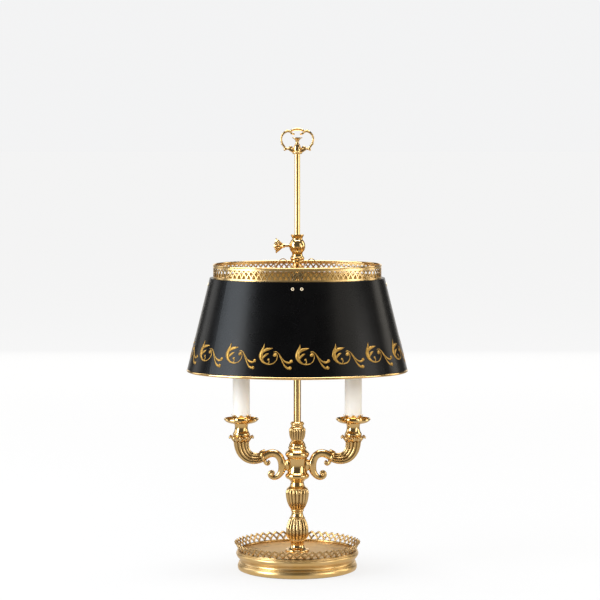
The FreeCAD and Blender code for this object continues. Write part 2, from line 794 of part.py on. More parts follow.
def drip_pan():
    """Shallow round pan that catches the wax."""
    pan = turned([
        (NIPPLE_R + LOOSE, 0),
        (PAN_R * 0.55, 0),
        (PAN_R * 0.84, PAN_RISE * 0.3, PAN_R, PAN_RISE),
        (PAN_R - 0.5, PAN_RISE + PAN_T),
        (PAN_R * 0.82, PAN_RISE * 0.3 + PAN_T, PAN_R * 0.55, PAN_T),
        (NIPPLE_R + LOOSE, PAN_T),
    ])
    pan.translate(vec(ARM_REACH, 0, pan_z))
    return pan


def candle_crown():
    """Ring of points that grips the foot of the candle sleeve."""
    inner = SLEEVE_R + FIT
    ring = pipe(inner + CROWN_WALL, inner, CROWN_H, vec(0, 0, 0))
    width = math.pi * inner / CROWN_POINTS
    notch = radial_prism([(0, CROWN_H * 0.5), (width, CROWN_H * 1.1), (-width, CROWN_H * 1.1)],
                         inner - 1, CROWN_WALL + 2)
    ring = ring.cut(Part.makeCompound(around(notch, CROWN_POINTS)))
    ring.translate(vec(ARM_REACH, 0, sleeve_z))
    return ring


def holder_nipple():
    """Threaded tube from the branch to the lampholder."""
    start = arm_top_z - NIPPLE_TAIL
    return pipe(NIPPLE_R, NIPPLE_R - 1.6, holder_z + HOLDER_FLOOR / 2 - start, vec(ARM_REACH, 0, start))


def candle_sleeve():
    """White card candle over the lampholder."""
    return pipe(SLEEVE_R, SLEEVE_R - SLEEVE_WALL, SLEEVE_L, vec(ARM_REACH, 0, sleeve_z))


def lampholder():
    """Small screw lampholder inside the candle sleeve."""
    holder = turned([
        (NIPPLE_R + FIT, 0),
        (HOLDER_R * 0.7, 0),
        (HOLDER_R, HOLDER_FLOOR * 0.4),
        (HOLDER_R, HOLDER_L),
        (HOLDER_R - HOLDER_WALL, HOLDER_L),
        (HOLDER_R - HOLDER_WALL, HOLDER_FLOOR),
        (NIPPLE_R + FIT, HOLDER_FLOOR),
    ])
    holder.translate(vec(ARM_REACH, 0, holder_z))
    return holder


def bulb_cap():
    """Screw cap of the bulb, seated in the lampholder."""
    contact = CAP_SCREW_L * 0.2
    cap = turned([
        (0, 0),
        (CAP_SCREW_R * 0.4, 0),
        (CAP_SCREW_R, contact),
        (CAP_SCREW_R, CAP_SCREW_L),
        (0, CAP_SCREW_L),
    ])
    cap.translate(vec(ARM_REACH, 0, holder_z + HOLDER_FLOOR))
    return cap


def bulb():
    """Candle-shaped glass bulb."""
    start = holder_z + HOLDER_FLOOR + CAP_SCREW_L
    body = turned([
        (0, 0),
        (BULB_NECK_R, 0),
        (BULB_NECK_R + 0.8, HOLDER_L - HOLDER_FLOOR - CAP_SCREW_L + HOLDER_DROP + 1.0),
        (BULB_R, BULB_L * 0.42, BULB_R * 0.62, BULB_L * 0.76),
        (BULB_R * 0.2, BULB_L * 0.94),
        (0, BULB_L),
    ])
    body.translate(vec(ARM_REACH, 0, start))
    return body


def slide_collar():
    """Turned collar that slides on the stem and carries the bridge."""
    bore = STEM_R + FIT
    ball = CLAMP_BALL_Z
    collar = turned([
        (bore, 0),
        (SPIGOT_R, 0),
        (SPIGOT_R, SPIGOT_L),
        (CLAMP_RING_R - 1.2, SPIGOT_L),
        (CLAMP_RING_R - 0.4, SPIGOT_L + 1.8, CLAMP_RING_R - 1.2, SPIGOT_L + 4.0),
        (CLAMP_RING_R, SPIGOT_L + 6.6, CLAMP_RING_R - 1.6, SPIGOT_L + 9.4),
        (CLAMP_NECK_R, SPIGOT_L + 12.6),
        (CLAMP_NECK_R + 0.6, ball - 10.0),
        (CLAMP_BALL_R, ball, CLAMP_NECK_R + 0.4, ball + 9.4),
        (CLAMP_NECK_R, ball + 11.0),
        (CLAMP_LIP_R - 1.2, CLAMP_H - 3.6),
        (CLAMP_LIP_R, CLAMP_H - 1.2),
        (CLAMP_LIP_R - 0.6, CLAMP_H),
        (bore, CLAMP_H),
    ], CLAMP_Z)
    tapped = rod(SHANK_R + FIT, 2 * CLAMP_BALL_R, vec(0, 0, screw_z()), vec(-1, 0, 0))
    return collar.cut(tapped)


def screw_z():
    """Height of the thumbscrew's axis."""
    return CLAMP_Z + CLAMP_BALL_Z


def screw_shank():
    """Threaded shank whose tip bears on the stem."""
    start = STEM_R + SHANK_GAP
    return rod(SHANK_R, SHANK_END_X - start, vec(-start, 0, screw_z()), vec(-1, 0, 0))


def screw_rosette():
    """Flower-shaped head of the thumbscrew."""
    bore = SHANK_R + FIT
    depth = SHANK_END_X - ROSETTE_START_X + SHANK_GAP
    head = turned([
        (bore, 0),
        (bore + 0.9, 0),
        (bore + 1.2, 3.4),
        (ROSETTE_R * 0.56, ROSETTE_L * 0.47),
        (ROSETTE_R * 0.74, ROSETTE_L * 0.6),
        (ROSETTE_R, ROSETTE_L * 0.7),
        (ROSETTE_R * 0.98, ROSETTE_L * 0.8),
        (ROSETTE_R * 0.35, ROSETTE_L * 0.84),
        (ROSETTE_R * 0.26, ROSETTE_L * 0.96),
        (0, ROSETTE_L),
        (0, depth),
        (bore, depth),
    ])
    petal = rod(ROSETTE_R * 0.2, ROSETTE_L, vec(ROSETTE_R * 1.06, 0, ROSETTE_L * 0.3))
    head = head.cut(Part.makeCompound(around(petal, ROSETTE_PETALS, first=90.0 / ROSETTE_PETALS)))
    head.rotate(ORIGIN, vec(0, 1, 0), -90)
    head.translate(vec(-ROSETTE_START_X, 0, screw_z()))
    return head


def ring_nut():
    """Notched ring nut that keeps the bridge on the spigot."""
    ring = pipe(NUT_RING_R, SPIGOT_R + FIT, NUT_RING_H, vec(0, 0, CLAMP_Z))
    notch = rod(1.6, NUT_RING_H, vec(NUT_RING_R + 0.6, 0, CLAMP_Z))
    return ring.cut(Part.makeCompound(around(notch, NUT_NOTCHES)))


def bridge_profile(half_width):
    """Edge of one bridge arm in the XZ plane: hump, long fall and bent tab.

    The tab reaches a little beyond the wall, whose curve then trims it.
    """
    hub_under = CLAMP_Z + NUT_RING_H + SEAT_GAP
    hub_top = hub_under + BRIDGE_T
    hump = hub_top + BRIDGE_HUMP_RISE
    fall_x = BRIDGE_HUMP_X + BRIDGE_FALL
    tab_top = shade_top_z - SEAT_GAP
    tab_end = tab_top - BRIDGE_TAB_L
    outer_top = half_width(tab_top) + 1.0
    outer_end = half_width(tab_end) + 1.0
    sag = BRIDGE_T + 1.8
    return outline([
        (SPIGOT_R + 2.0, hub_under),
        (SPIGOT_R + 2.0, hub_top),
        (SPIGOT_R + 4.0, hub_top),
        (BRIDGE_HUMP_X, hump, fall_x, hub_top - 2.0),
        (outer_top - BRIDGE_SHELF, tab_top),
        (outer_top, tab_top),
        (outer_end, tab_end),
        (outer_end - sag - 1.0, tab_end),
        (outer_top - sag - 1.0, tab_top - BRIDGE_T),
        (outer_top - BRIDGE_SHELF, tab_top - BRIDGE_T),
        (fall_x, hub_top - 2.0 - BRIDGE_T),
        (BRIDGE_HUMP_X, hump - BRIDGE_T, SPIGOT_R + 4.0 + BRIDGE_T, hub_under),
    ])


def shade_half_x(z):
    """Half width of the shade at a height."""
    share = (shade_top_z - z) / SHADE_H
    return shade_top_x + share * SHADE_FLARE_X


def shade_half_y(z):
    """Half depth of the shade at a height."""
    share = (shade_top_z - z) / SHADE_H
    return shade_top_y + share * SHADE_FLARE_Y


def shade_bridge():
    """Cross of four humped strips whose tabs are riveted inside the shade."""
    strips = []
    for half_width, turn in ((shade_half_x, 0), (shade_half_y, 90)):
        strip = Part.Face(bridge_profile(half_width)).extrude(vec(0, BRIDGE_W, 0))
        strip.translate(vec(0, -BRIDGE_W / 2, 0))
        strips += around(strip, 2, first=turn)
    hub_z = CLAMP_Z + NUT_RING_H + SEAT_GAP
    cross = rod(BRIDGE_HUB_R, BRIDGE_T, vec(0, 0, hub_z)).fuse(strips)
    cross = cross.cut(rod(SPIGOT_R + FIT, 2 * BRIDGE_HUMP_RISE, vec(0, 0, CLAMP_Z)))
    lower, upper = shade_ends()
    high_z = shade_top_z + 3 * BRIDGE_HUB_R
    rise = high_z - shade_top_z
    high = (shade_top_x - rise * slope(shade_half_x), shade_top_y - rise * slope(shade_half_y), high_z)
    cross = cross.common(oval_solid(lower, high, SHADE_WALL))
    return cross.cut(Part.makeCompound(rivet_places(RIVET_BORE_R + RIVET_WALL + FIT)))


def slope(half_width):
    """Growth of the shade's half width for each millimetre down."""
    return (half_width(shade_bottom_z) - half_width(shade_top_z)) / SHADE_H


def rivet_places(radius):
    """Round bars through the wall at each pair of rivets."""
    z = shade_top_z - RIVET_DROP
    bars = []
    for half_width, turn in ((shade_half_x, 0), (shade_half_y, 90)):
        for side in (-RIVET_PITCH / 2, RIVET_PITCH / 2):
            bar = rod(radius, 2 * RIVET_REACH, vec(half_width(z) - RIVET_REACH, side, z), vec(1, 0, 0))
            bars += around(bar, 2, first=turn)
    return bars


def bridge_rivets():
    """Hollow rivets through the shade's wall and the bridge's tabs, their heads seated on the wall."""
    lower, upper = shade_ends()
    heads = Part.makeCompound(rivet_places(RIVET_R)).cut(oval_solid(lower, upper))
    heads = heads.common(oval_solid(lower, upper, -RIVET_HEAD_T))
    bodies = Part.makeCompound(rivet_places(RIVET_BORE_R + RIVET_WALL))
    bodies = bodies.common(oval_solid(lower, upper, -RIVET_HEAD_T / 2)).cut(oval_solid(lower, upper, SHADE_WALL))
    rivets = []
    for body in bodies.Solids:
        head = min(heads.Solids, key=lambda solid: (solid.CenterOfMass - body.CenterOfMass).Length)
        rivets.append(body.fuse(head))
    return Part.makeCompound(rivets).cut(Part.makeCompound(rivet_places(RIVET_BORE_R)))


def shade_ends():
    """Lower and upper oval of the shade's wall."""
    lower = (shade_bottom_x, shade_bottom_y, shade_bottom_z)
    upper = (shade_top_x, shade_top_y, shade_top_z)
    return lower, upper


def shade_wall():
    """Tapered oval wall of painted sheet."""
    lower, upper = shade_ends()
    wall = oval_solid(lower, upper).cut(oval_solid(lower, upper, SHADE_WALL))
    return wall.cut(Part.makeCompound(rivet_places(RIVET_BORE_R + RIVET_WALL + FIT)))


def shade_bead():
    """Round bead that closes the lower edge."""
    z = shade_bottom_z - SHADE_BEAD_R
    return oval_rail(shade_bottom_x - SHADE_BEAD_R / 2, shade_bottom_y - SHADE_BEAD_R / 2, z, SHADE_BEAD_R)


def crown_ledge():
    """Flat oval ledge between the shade's top edge and the gallery."""
    outer = Part.Face(oval(shade_top_x, shade_top_y, shade_top_z))
    inner = Part.Face(oval(CROWN_HALF_X, CROWN_HALF_Y, shade_top_z, 2 * CROWN_BAND_T))
    return outer.cut(inner).extrude(vec(0, 0, CROWN_LEDGE_T))


def crown_band():
    """Pierced oval band of pointed arches, one flat bay for each arch."""
    bottom = shade_top_z + CROWN_LEDGE_T
    height = CROWN_BAND_H - RAIL_R
    walls = []
    for inset in (0, CROWN_BAND_T):
        corners = oval(CROWN_HALF_X, CROWN_HALF_Y, bottom, inset).discretize(Number=CROWN_BAYS + 1)
        walls.append(Part.Face(Part.makePolygon(corners[:-1] + corners[:1])).extrude(vec(0, 0, height)))
    band = walls[0].cut(walls[1])
    corners = oval(CROWN_HALF_X, CROWN_HALF_Y, bottom).discretize(Number=CROWN_BAYS + 1)
    bays = [bay_cutter(start, end, height) for start, end in zip(corners, corners[1:])]
    return band.cut(Part.makeCompound(bays))


def bay_cutter(start, end, height):
    """Prism of one pointed arch, square to its bay."""
    middle = (start + end) / 2
    along = end - start
    half = along.Length / 2 - BAY_BAR / 2
    along.normalize()
    outward = along.cross(UP)
    head = height - BAY_HEAD
    spring = (BAY_SILL + head) / 2
    points = []
    for side, z in ((-half, BAY_SILL), (half, BAY_SILL), (half, spring), (0, head), (-half, spring)):
        points.append(middle + along * side + vec(0, 0, z) - outward * (3 * CROWN_BAND_T))
    points.append(points[0])
    return Part.Face(Part.makePolygon(points)).extrude(outward * (6 * CROWN_BAND_T))


def crown_rail():
    """Round rail on top of the gallery."""
    z = shade_top_z + CROWN_LEDGE_T + CROWN_BAND_H
    half_t = CROWN_BAND_T / 2
    return oval_rail(CROWN_HALF_X - half_t, CROWN_HALF_Y - half_t, z, RAIL_R)


PIECES = {
    "felt_pad": lambda: rod(FELT_R, FELT_T, ORIGIN),
    "base_shell": base_shell,
    "cable_bush": cable_bush,
    "base_dish": base_dish,
    "base_gallery": tray_gallery,
    "ballast_disc": lambda: pipe(BALLAST_R, bore_r, BALLAST_T, vec(0, 0, ballast_z)),
    "base_washer": lambda: pipe(WASHER_R, bore_r, WASHER_T, vec(0, 0, washer_z)),
    "base_nut": base_nut,
    "tie_rod": lambda: rod(ROD_THREAD_R, tube_z - rod_z, vec(0, 0, rod_z)),
    "column_foot": column_foot,
    "lower_baluster": lower_baluster,
    "upper_vase": upper_vase,
    "arm_hub": arm_hub,
    "hub_cap": hub_cap,
    "top_vase": top_vase,
    "stem_tube": lambda: pipe(TUBE_R, TUBE_R - TUBE_WALL, TUBE_L, vec(0, 0, tube_z)),
    "stem_ferrule": stem_ferrule,
    "stem_rod": lambda: pipe(STEM_R, STEM_R - STEM_WALL, STEM_TUCK + STEM_SHOWN, vec(0, 0, tube_top_z - STEM_TUCK)),
    "finial_bud": finial_bud,
    "finial_ring": finial_ring,
    "arm_screws": arm_screws,
    "slide_collar": slide_collar,
    "ring_nut": ring_nut,
    "screw_shank": screw_shank,
    "screw_rosette": screw_rosette,
    "shade_bridge": shade_bridge,
    "shade_wall": shade_wall,
    "shade_bead": shade_bead,
    "bridge_rivets": bridge_rivets,
    "crown_ledge": crown_ledge,
    "crown_band": crown_band,
    "crown_rail": crown_rail,
}

PAIRED = {
    "arm": branch,
    "candle_collar": candle_collar,
    "candle_cup": candle_cup,
    "drip_pan": drip_pan,
    "candle_crown": candle_crown,
    "holder_nipple": holder_nipple,
    "lampholder": lampholder,
    "candle_sleeve": candle_sleeve,
    "bulb_cap": bulb_cap,
    "bulb_glass": bulb,
}


def main():
    """Build each piece and write it as its own file."""
    os.makedirs("parts", exist_ok=True)
    solids = {name: make() for name, make in PIECES.items()}
    for name, make in PAIRED.items():
        right = make()
        solids[name + "_right"] = right
        solids[name + "_left"] = mirrored(right)
    for name, solid in solids.items():
        solid.exportStep("parts/" + name + ".step")


main()
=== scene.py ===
import json
import logging
import math
from collections.abc import Callable, Sequence
from dataclasses import dataclass, field
from enum import Enum

import bmesh
import bpy
from mathutils import Matrix, Vector


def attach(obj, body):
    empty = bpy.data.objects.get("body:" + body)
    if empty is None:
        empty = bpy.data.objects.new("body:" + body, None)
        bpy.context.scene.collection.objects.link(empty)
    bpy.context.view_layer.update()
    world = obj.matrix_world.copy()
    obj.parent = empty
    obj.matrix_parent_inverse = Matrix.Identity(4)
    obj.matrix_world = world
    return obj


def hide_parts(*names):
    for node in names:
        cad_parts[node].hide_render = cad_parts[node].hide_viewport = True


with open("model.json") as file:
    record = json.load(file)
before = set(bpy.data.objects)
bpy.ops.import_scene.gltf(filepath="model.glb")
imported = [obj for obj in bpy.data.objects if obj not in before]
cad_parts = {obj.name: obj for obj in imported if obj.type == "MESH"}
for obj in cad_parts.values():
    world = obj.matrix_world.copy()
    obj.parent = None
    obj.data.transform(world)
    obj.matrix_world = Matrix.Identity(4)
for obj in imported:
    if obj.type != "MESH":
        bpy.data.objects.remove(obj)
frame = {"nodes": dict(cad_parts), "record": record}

log = logging.getLogger("lamp")
Triple = tuple[float, float, float]
Run = tuple[tuple[float, ...], ...]
MM = 0.001
MERGE = 1e-6
SIDES = ((1, "right"), (-1, "left"))
UP = Vector((0.0, 0.0, 1.0))
ACROSS = Vector((0.0, 1.0, 0.0))


class Body(Enum):
    """The rigid bodies that pieces of this script ride on."""

    STAND = "stand"
    SCREW_HEAD = "screw_head"
    SHADE = "shade"


class Slot(Enum):
    """The material slots of the record."""

    BRASS = "brass"
    FLUTED = "brass_fluted"
    BASE = "brass_base"
    DISH = "brass_dish"
    PIERCED = "brass_pierced"
    TOLE = "tole"
    CANDLE = "candle"
    GLASS = "glass"
    HOLDER = "lampholder"
    BUSH = "bush"
    STEEL = "steel"
    IRON = "iron"
    FELT = "felt"


class Lay(Enum):
    """Direction of the marks on brass, with their number to the metre, octaves and roughness."""

    TURNED = (1100.0, 4.0, 0.65)
    DISC = (900.0, 4.0, 0.7)
    CAST = (420.0, 5.0, 0.6)


class Port:
    """A node's output on which shader maths is written as Python expressions."""

    def __init__(self, graph: "Graph", socket: bpy.types.NodeSocket) -> None:
        """Keep the output and the graph that its maths nodes go into."""
        self.graph = graph
        self.socket = socket

    def __add__(self, other: "Port | float") -> "Port":
        """Sum."""
        return self.graph.maths("ADD", self, other)

    def __radd__(self, other: float) -> "Port":
        """Sum with the number first."""
        return self.graph.maths("ADD", other, self)

    def __sub__(self, other: "Port | float") -> "Port":
        """Difference."""
        return self.graph.maths("SUBTRACT", self, other)

    def __rsub__(self, other: float) -> "Port":
        """Difference with the number first."""
        return self.graph.maths("SUBTRACT", other, self)

    def __mul__(self, other: "Port | float") -> "Port":
        """Product."""
        return self.graph.maths("MULTIPLY", self, other)

    def clamped(self, low: float, high: float) -> "Port":
        """Spread the values from low to high over 0 to 1, cut off at both ends."""
        return self.graph.node("ShaderNodeMapRange", {"clamp": True},
                               {"Value": self, "From Min": low, "From Max": high})


class Graph:
    """A new material's node tree."""

    def __init__(self, name: str) -> None:
        """Start a material with an empty tree and an output."""
        self.material = bpy.data.materials.new(name)
        self.material.use_nodes = True
        self.tree = self.material.node_tree
        self.tree.nodes.clear()
        self.out = self.tree.nodes.new("ShaderNodeOutputMaterial")

    def node(self, kind: str, settings: dict, values: dict, output: int | str = 0) -> Port:
        """Add a node.

        Args:
            kind: The node's type.
            settings: Its properties.
            values: Numbers, colours or ports for its sockets.
            output: The output to hand back.

        Returns:
            The chosen output.
        """
        made = self.tree.nodes.new(kind)
        for name, value in settings.items():
            setattr(made, name, value)
        for key, value in values.items():
            if isinstance(value, Port):
                self.tree.links.new(value.socket, made.inputs[key])
            else:
                made.inputs[key].default_value = value
        return Port(self, made.outputs[output])

    def maths(self, operation: str, first: Port | float, second: Port | float = 0.0) -> Port:
        """Add one Math node.

        Args:
            operation: The node's operation.
            first: Its first value.
            second: Its second value.

        Returns:
            The node's result.
        """
        return self.node("ShaderNodeMath", {"operation": operation}, {0: first, 1: second})

    def place(self) -> Port:
        """Object coordinates, in metres."""
        return self.node("ShaderNodeTexCoord", {}, {}, "Object")

    def parts(self, vector: Port) -> tuple[Port, ...]:
        """A vector's three values."""
        split = self.node("ShaderNodeSeparateXYZ", {}, {0: vector}).socket.node
        return tuple(Port(self, output) for output in split.outputs)

    def from_axis(self) -> Port:
        """Distance from the lamp's axis."""
        x, y, _ = self.parts(self.place())
        return self.maths("SQRT", x * x + y * y)

    def vector(self, x: Port | float, y: Port | float, z: Port | float) -> Port:
        """One vector of three values."""
        return self.node("ShaderNodeCombineXYZ", {}, {0: x, 1: y, 2: z})

    def noise(self, at: Port, scale: float, detail: float = 3.0, rough: float = 0.5) -> Port:
        """Noise between 0 and 1.

        Args:
            at: Coordinates.
            scale: Features per metre.
            detail: Octaves.
            rough: Strength of the finer octaves.

        Returns:
            The noise value.
        """
        return self.node("ShaderNodeTexNoise", {},
                         {"Vector": at, "Scale": scale, "Detail": detail, "Roughness": rough})

    def mix(self, share: Port | float, first: Port | tuple, second: Port | tuple) -> Port:
        """Blend two colours.

        Args:
            share: 0 gives the first, 1 the second.
            first: A port, or red, green and blue.
            second: A port, or red, green and blue.

        Returns:
            The blended colour.
        """
        ends = [value if isinstance(value, Port) else (*value, 1.0) for value in (first, second)]
        return self.node("ShaderNodeMix", {"data_type": "RGBA"}, {0: share, 6: ends[0], 7: ends[1]}, 2)

    def bump(self, height: Port, depth: float, strength: float = 1.0) -> Port:
        """Relief from a height.

        Args:
            height: Height between 0 and 1.
            depth: Depth of the relief, in metres.
            strength: Share of the relief.

        Returns:
            The bent normal.
        """
        return self.node("ShaderNodeBump", {}, {"Height": height, "Distance": depth, "Strength": strength})

    def shell(self, values: dict) -> bpy.types.Material:
        """Close the tree with a Principled shader.

        Args:
            values: Numbers, colours or ports for its sockets.

        Returns:
            The finished material.
        """
        shader = self.node("ShaderNodeBsdfPrincipled", {}, values)
        self.tree.links.new(shader.socket, self.out.inputs["Surface"])
        return self.material


@dataclass(frozen=True)
class Finish:
    """A named finish, whose kind works out the values of one Principled shader."""

    name: str

    def values(self, graph: Graph) -> dict:
        """Work out numbers, colours or ports for the shader's sockets."""
        raise NotImplementedError

    def material(self) -> bpy.types.Material:
        """Make the material.

        Returns:
            The material.
        """
        graph = Graph(self.name)
        return graph.shell(self.values(graph))


@dataclass(frozen=True)
class BrassFinish(Finish):
    """Polished brass with fine marks, and brown patina with painted shade in its recesses."""

    lay: Lay
    colour: Triple = (0.83, 0.59, 0.295)
    warm: Triple = (0.78, 0.51, 0.185)
    patina_and_shade: Triple = (0.055, 0.027, 0.008)
    roughness: float = 0.07
    haze: float = 0.08
    # Strength and reach of the patina and painted shade in the recesses.
    recess: float = 0.8
    recess_reach: float = 0.004
    open_from: float = 0.25
    open_to: float = 0.85
    marks: float = 0.000008
    mottle: float = 0.0
    metal: float = 1.0

    cloud_scale: float = 38.0
    spot_scale: float = 260.0
    stain_scale: float = 95.0
    stained_from: float = 0.0565
    stained_to: float = 0.0585
    spot_haze: float = 0.08
    hollow_haze: float = 0.25

    def values(self, graph: Graph) -> dict:
        """Two tones, stained outside a ring where mottled, and patina with painted shade in the recesses."""
        place = graph.place()
        at = place
        if self.lay is Lay.DISC:
            at = graph.vector(graph.from_axis(), 0.0, 0.0)
        elif self.lay is Lay.TURNED:
            at = graph.vector(0.0, 0.0, graph.parts(place)[2])
        lines = graph.noise(at, *self.lay.value)
        cloud = graph.noise(place, self.cloud_scale, 4.0, 0.6)
        spots = graph.noise(place, self.spot_scale, 3.0, 0.7)
        tone = graph.mix(cloud.clamped(0.3, 0.75), self.colour, self.warm)
        if self.mottle:
            stain = graph.noise(place, self.stain_scale, 6.0, 0.75).clamped(0.42, 0.7) * self.mottle
            ring = graph.from_axis().clamped(self.stained_from, self.stained_to)
            tone = graph.mix(stain * ring, tone, self.patina_and_shade)
        # Painted shade: ambient occlusion darkens the recesses towards the patina colour, standing for the shade that
        # falls there as well as for patina.
        open_share = graph.node("ShaderNodeAmbientOcclusion", {"samples": 6, "only_local": True},
                                {"Distance": self.recess_reach}, "AO")
        patina_and_shade_mask = (1.0 - open_share.clamped(self.open_from, self.open_to)) * self.recess
        rough = self.roughness + cloud * self.haze + spots.clamped(0.55, 0.9) * self.spot_haze
        return {"Base Color": graph.mix(patina_and_shade_mask, tone, self.patina_and_shade), "Metallic": self.metal,
                "Roughness": rough + patina_and_shade_mask * self.hollow_haze, "Normal": graph.bump(lines, self.marks)}


@dataclass(frozen=True)
class ToleFinish(Finish):
    """Sheet metal with black satin paint outside and gold paint inside."""

    name: str = "tole_black"
    colour: Triple = (0.0010, 0.0010, 0.0012)
    dusty: Triple = (0.0022, 0.0022, 0.0025)
    gold: Triple = (0.80, 0.57, 0.22)
    worn: Triple = (0.62, 0.41, 0.13)
    inward: float = 0.3
    gloss: float = 0.24
    gold_gloss: float = 0.36
    gold_metal: float = 0.75
    peel_depth: float = 0.00003

    def values(self, graph: Graph) -> dict:
        """Black with a faint orange peel, and gold on the faces that look at the axis."""
        place = graph.place()
        x, y, _ = graph.parts(place)
        out_x, out_y, _ = graph.parts(graph.node("ShaderNodeTexCoord", {}, {}, "Normal"))
        inside = graph.maths("LESS_THAN", out_x * x + out_y * y + graph.from_axis() * self.inward)
        cloud = graph.noise(place, 22.0, 4.0, 0.6)
        peel = graph.noise(place, 340.0, 3.0, 0.5)
        wear = graph.noise(place, 210.0, 5.0, 0.7).clamped(0.45, 0.75)
        grain = graph.noise(place, 1500.0, 3.0)
        paint = graph.mix(cloud.clamped(0.35, 0.75), self.colour, self.dusty)
        rough = self.gloss + cloud * 0.07 + graph.noise(place, 700.0, 2.0).clamped(0.6, 0.9) * 0.06
        return {"Base Color": graph.mix(inside, paint, graph.mix(wear, self.gold, self.worn)),
                "Metallic": inside * self.gold_metal, "Specular IOR Level": 0.20,
                "Roughness": rough + inside * (self.gold_gloss + grain * 0.16 - rough),
                "Normal": graph.bump(peel + inside * (grain - peel), self.peel_depth, 0.85)}


@dataclass(frozen=True)
class GiltFinish(Finish):
    """Gold paint laid with a brush, a little worn."""

    name: str = "gilt_paint"
    colour: Triple = (0.56, 0.33, 0.075)
    dark: Triple = (0.30, 0.15, 0.025)
    metal: float = 0.75
    roughness: float = 0.36
    grain_depth: float = 0.00003

    def values(self, graph: Graph) -> dict:
        """Gold that is darker where it is worn, with a fine grain."""
        place = graph.place()
        wear = graph.noise(place, 210.0, 5.0, 0.7).clamped(0.45, 0.75)
        grain = graph.noise(place, 1500.0, 3.0)
        return {"Base Color": graph.mix(wear, self.colour, self.dark), "Metallic": self.metal,
                "Roughness": self.roughness + grain * 0.16, "Normal": graph.bump(grain, self.grain_depth, 0.8)}


@dataclass(frozen=True)
class MouldedFinish(Finish):
    """A non-metal of one colour, with clouding, grain and a gloss of its own."""

    colour: Triple
    second: Triple
    roughness: float
    cloud_scale: float = 60.0
    grain_scale: float = 900.0
    grain_depth: float = 0.00002
    coat: float = 0.0
    glow: float = 0.0
    glow_reach: Triple = (0.004, 0.0035, 0.003)

    def values(self, graph: Graph) -> dict:
        """Clouds of a second tone over the first, with grain and some glow from within."""
        place = graph.place()
        cloud = graph.noise(place, self.cloud_scale, 4.0, 0.6)
        grain = graph.noise(place, self.grain_scale, 3.0, 0.6)
        values = {"Base Color": graph.mix(cloud.clamped(0.35, 0.7), self.colour, self.second),
                  "Roughness": self.roughness + cloud * 0.1, "Coat Weight": self.coat,
                  "Normal": graph.bump(grain, self.grain_depth)}
        if self.glow:
            values |= {"Subsurface Weight": self.glow, "Subsurface Radius": self.glow_reach}
        return values


@dataclass(frozen=True)
class PlatedFinish(Finish):
    """Plated or cast iron and steel."""

    colour: Triple
    second: Triple
    roughness: float
    metal: float = 1.0
    scale: float = 300.0
    depth: float = 0.00004

    def values(self, graph: Graph) -> dict:
        """Clouds of a second tone over the first, with fine pits."""
        place = graph.place()
        cloud = graph.noise(place, self.scale * 0.2, 4.0, 0.6)
        pits = graph.noise(place, self.scale, 5.0, 0.65)
        return {"Base Color": graph.mix(cloud.clamped(0.3, 0.7), self.colour, self.second), "Metallic": self.metal,
                "Roughness": self.roughness + pits * 0.2, "Normal": graph.bump(pits, self.depth)}


@dataclass(frozen=True)
class GlassFinish(Finish):
    """Thin clear bulb glass with faint smears."""

    name: str = "bulb_clear"
    clean: Triple = (1.0, 0.995, 0.98)
    smeared: Triple = (0.95, 0.94, 0.91)

    def values(self, graph: Graph) -> dict:
        """Clear glass, duller in its smears."""
        smear = graph.noise(graph.place(), 70.0, 4.0, 0.6)
        return {"Base Color": graph.mix(smear, self.clean, self.smeared),
                "Roughness": 0.02 + smear.clamped(0.5, 0.9) * 0.06, "Transmission Weight": 0.96, "IOR": 1.3}


def finishes() -> dict[Slot, bpy.types.Material]:
    """Make every slot's material.

    Returns:
        The material of each slot.
    """
    made = {
        Slot.BRASS: BrassFinish("brass_polished", Lay.TURNED),
        # The flutes' grooves take the strongest painted shade, darkened towards the patina colour.
        Slot.FLUTED: BrassFinish("brass_cast", Lay.CAST, roughness=0.13, recess=1.0, recess_reach=0.0026,
                                 open_from=0.45, open_to=0.94, marks=0.00001),
        Slot.BASE: BrassFinish("brass_spun", Lay.TURNED, roughness=0.27, recess=0.7, recess_reach=0.003,
                               marks=0.00005),
        Slot.DISH: BrassFinish("brass_dished", Lay.DISC, colour=(0.90, 0.64, 0.33), warm=(0.83, 0.55, 0.25),
                               roughness=0.42, recess=0.3, marks=0.00003, mottle=0.5),
        Slot.PIERCED: BrassFinish("brass_strip", Lay.CAST, roughness=0.24, recess=1.0,
                                  recess_reach=0.002, marks=0.00001),
        Slot.TOLE: ToleFinish(),
        Slot.CANDLE: MouldedFinish("candle_card", (0.94, 0.93, 0.90), (0.92, 0.905, 0.865), 0.34,
                                   coat=0.15, glow=0.25),
        Slot.GLASS: GlassFinish(),
        Slot.HOLDER: MouldedFinish("phenolic_brown", (0.020, 0.014, 0.012), (0.035, 0.024, 0.018), 0.38),
        Slot.BUSH: MouldedFinish("bush_black", (0.014, 0.014, 0.014), (0.03, 0.03, 0.03), 0.5),
        Slot.STEEL: PlatedFinish("zinc_plate", (0.62, 0.62, 0.60), (0.44, 0.44, 0.45), 0.28),
        Slot.IRON: PlatedFinish("iron_cast", (0.055, 0.052, 0.05), (0.10, 0.075, 0.055), 0.62,
                                0.6, 500.0, 0.0003),
        Slot.FELT: MouldedFinish("felt_green", (0.016, 0.045, 0.025), (0.028, 0.07, 0.04), 0.9,
                                 300.0, 2600.0, 0.0004),
    }
    return {slot: finish.material() for slot, finish in made.items()}


def spline(points: Sequence[Sequence[float]], steps: int) -> list[tuple[float, ...]]:
    """Smooth run through points by Catmull-Rom spans.

    Args:
        points: Points of any number of values, such as x, z and radius.
        steps: Spans between two neighbours.

    Returns:
        The points along the run.
    """
    ends = [points[0], *points, points[-1]]
    run = []
    for index in range(1, len(ends) - 2):
        a, b, c, d = ends[index - 1:index + 3]
        for step in range(steps):
            t = step / steps
            run.append(tuple(
                0.5 * (2 * q + (r - p) * t + (2 * p - 5 * q + 4 * r - s) * t * t + (3 * q - p - 3 * r + s) * t**3)
                for p, q, r, s in zip(a, b, c, d)))
    run.append(tuple(points[-1]))
    return run


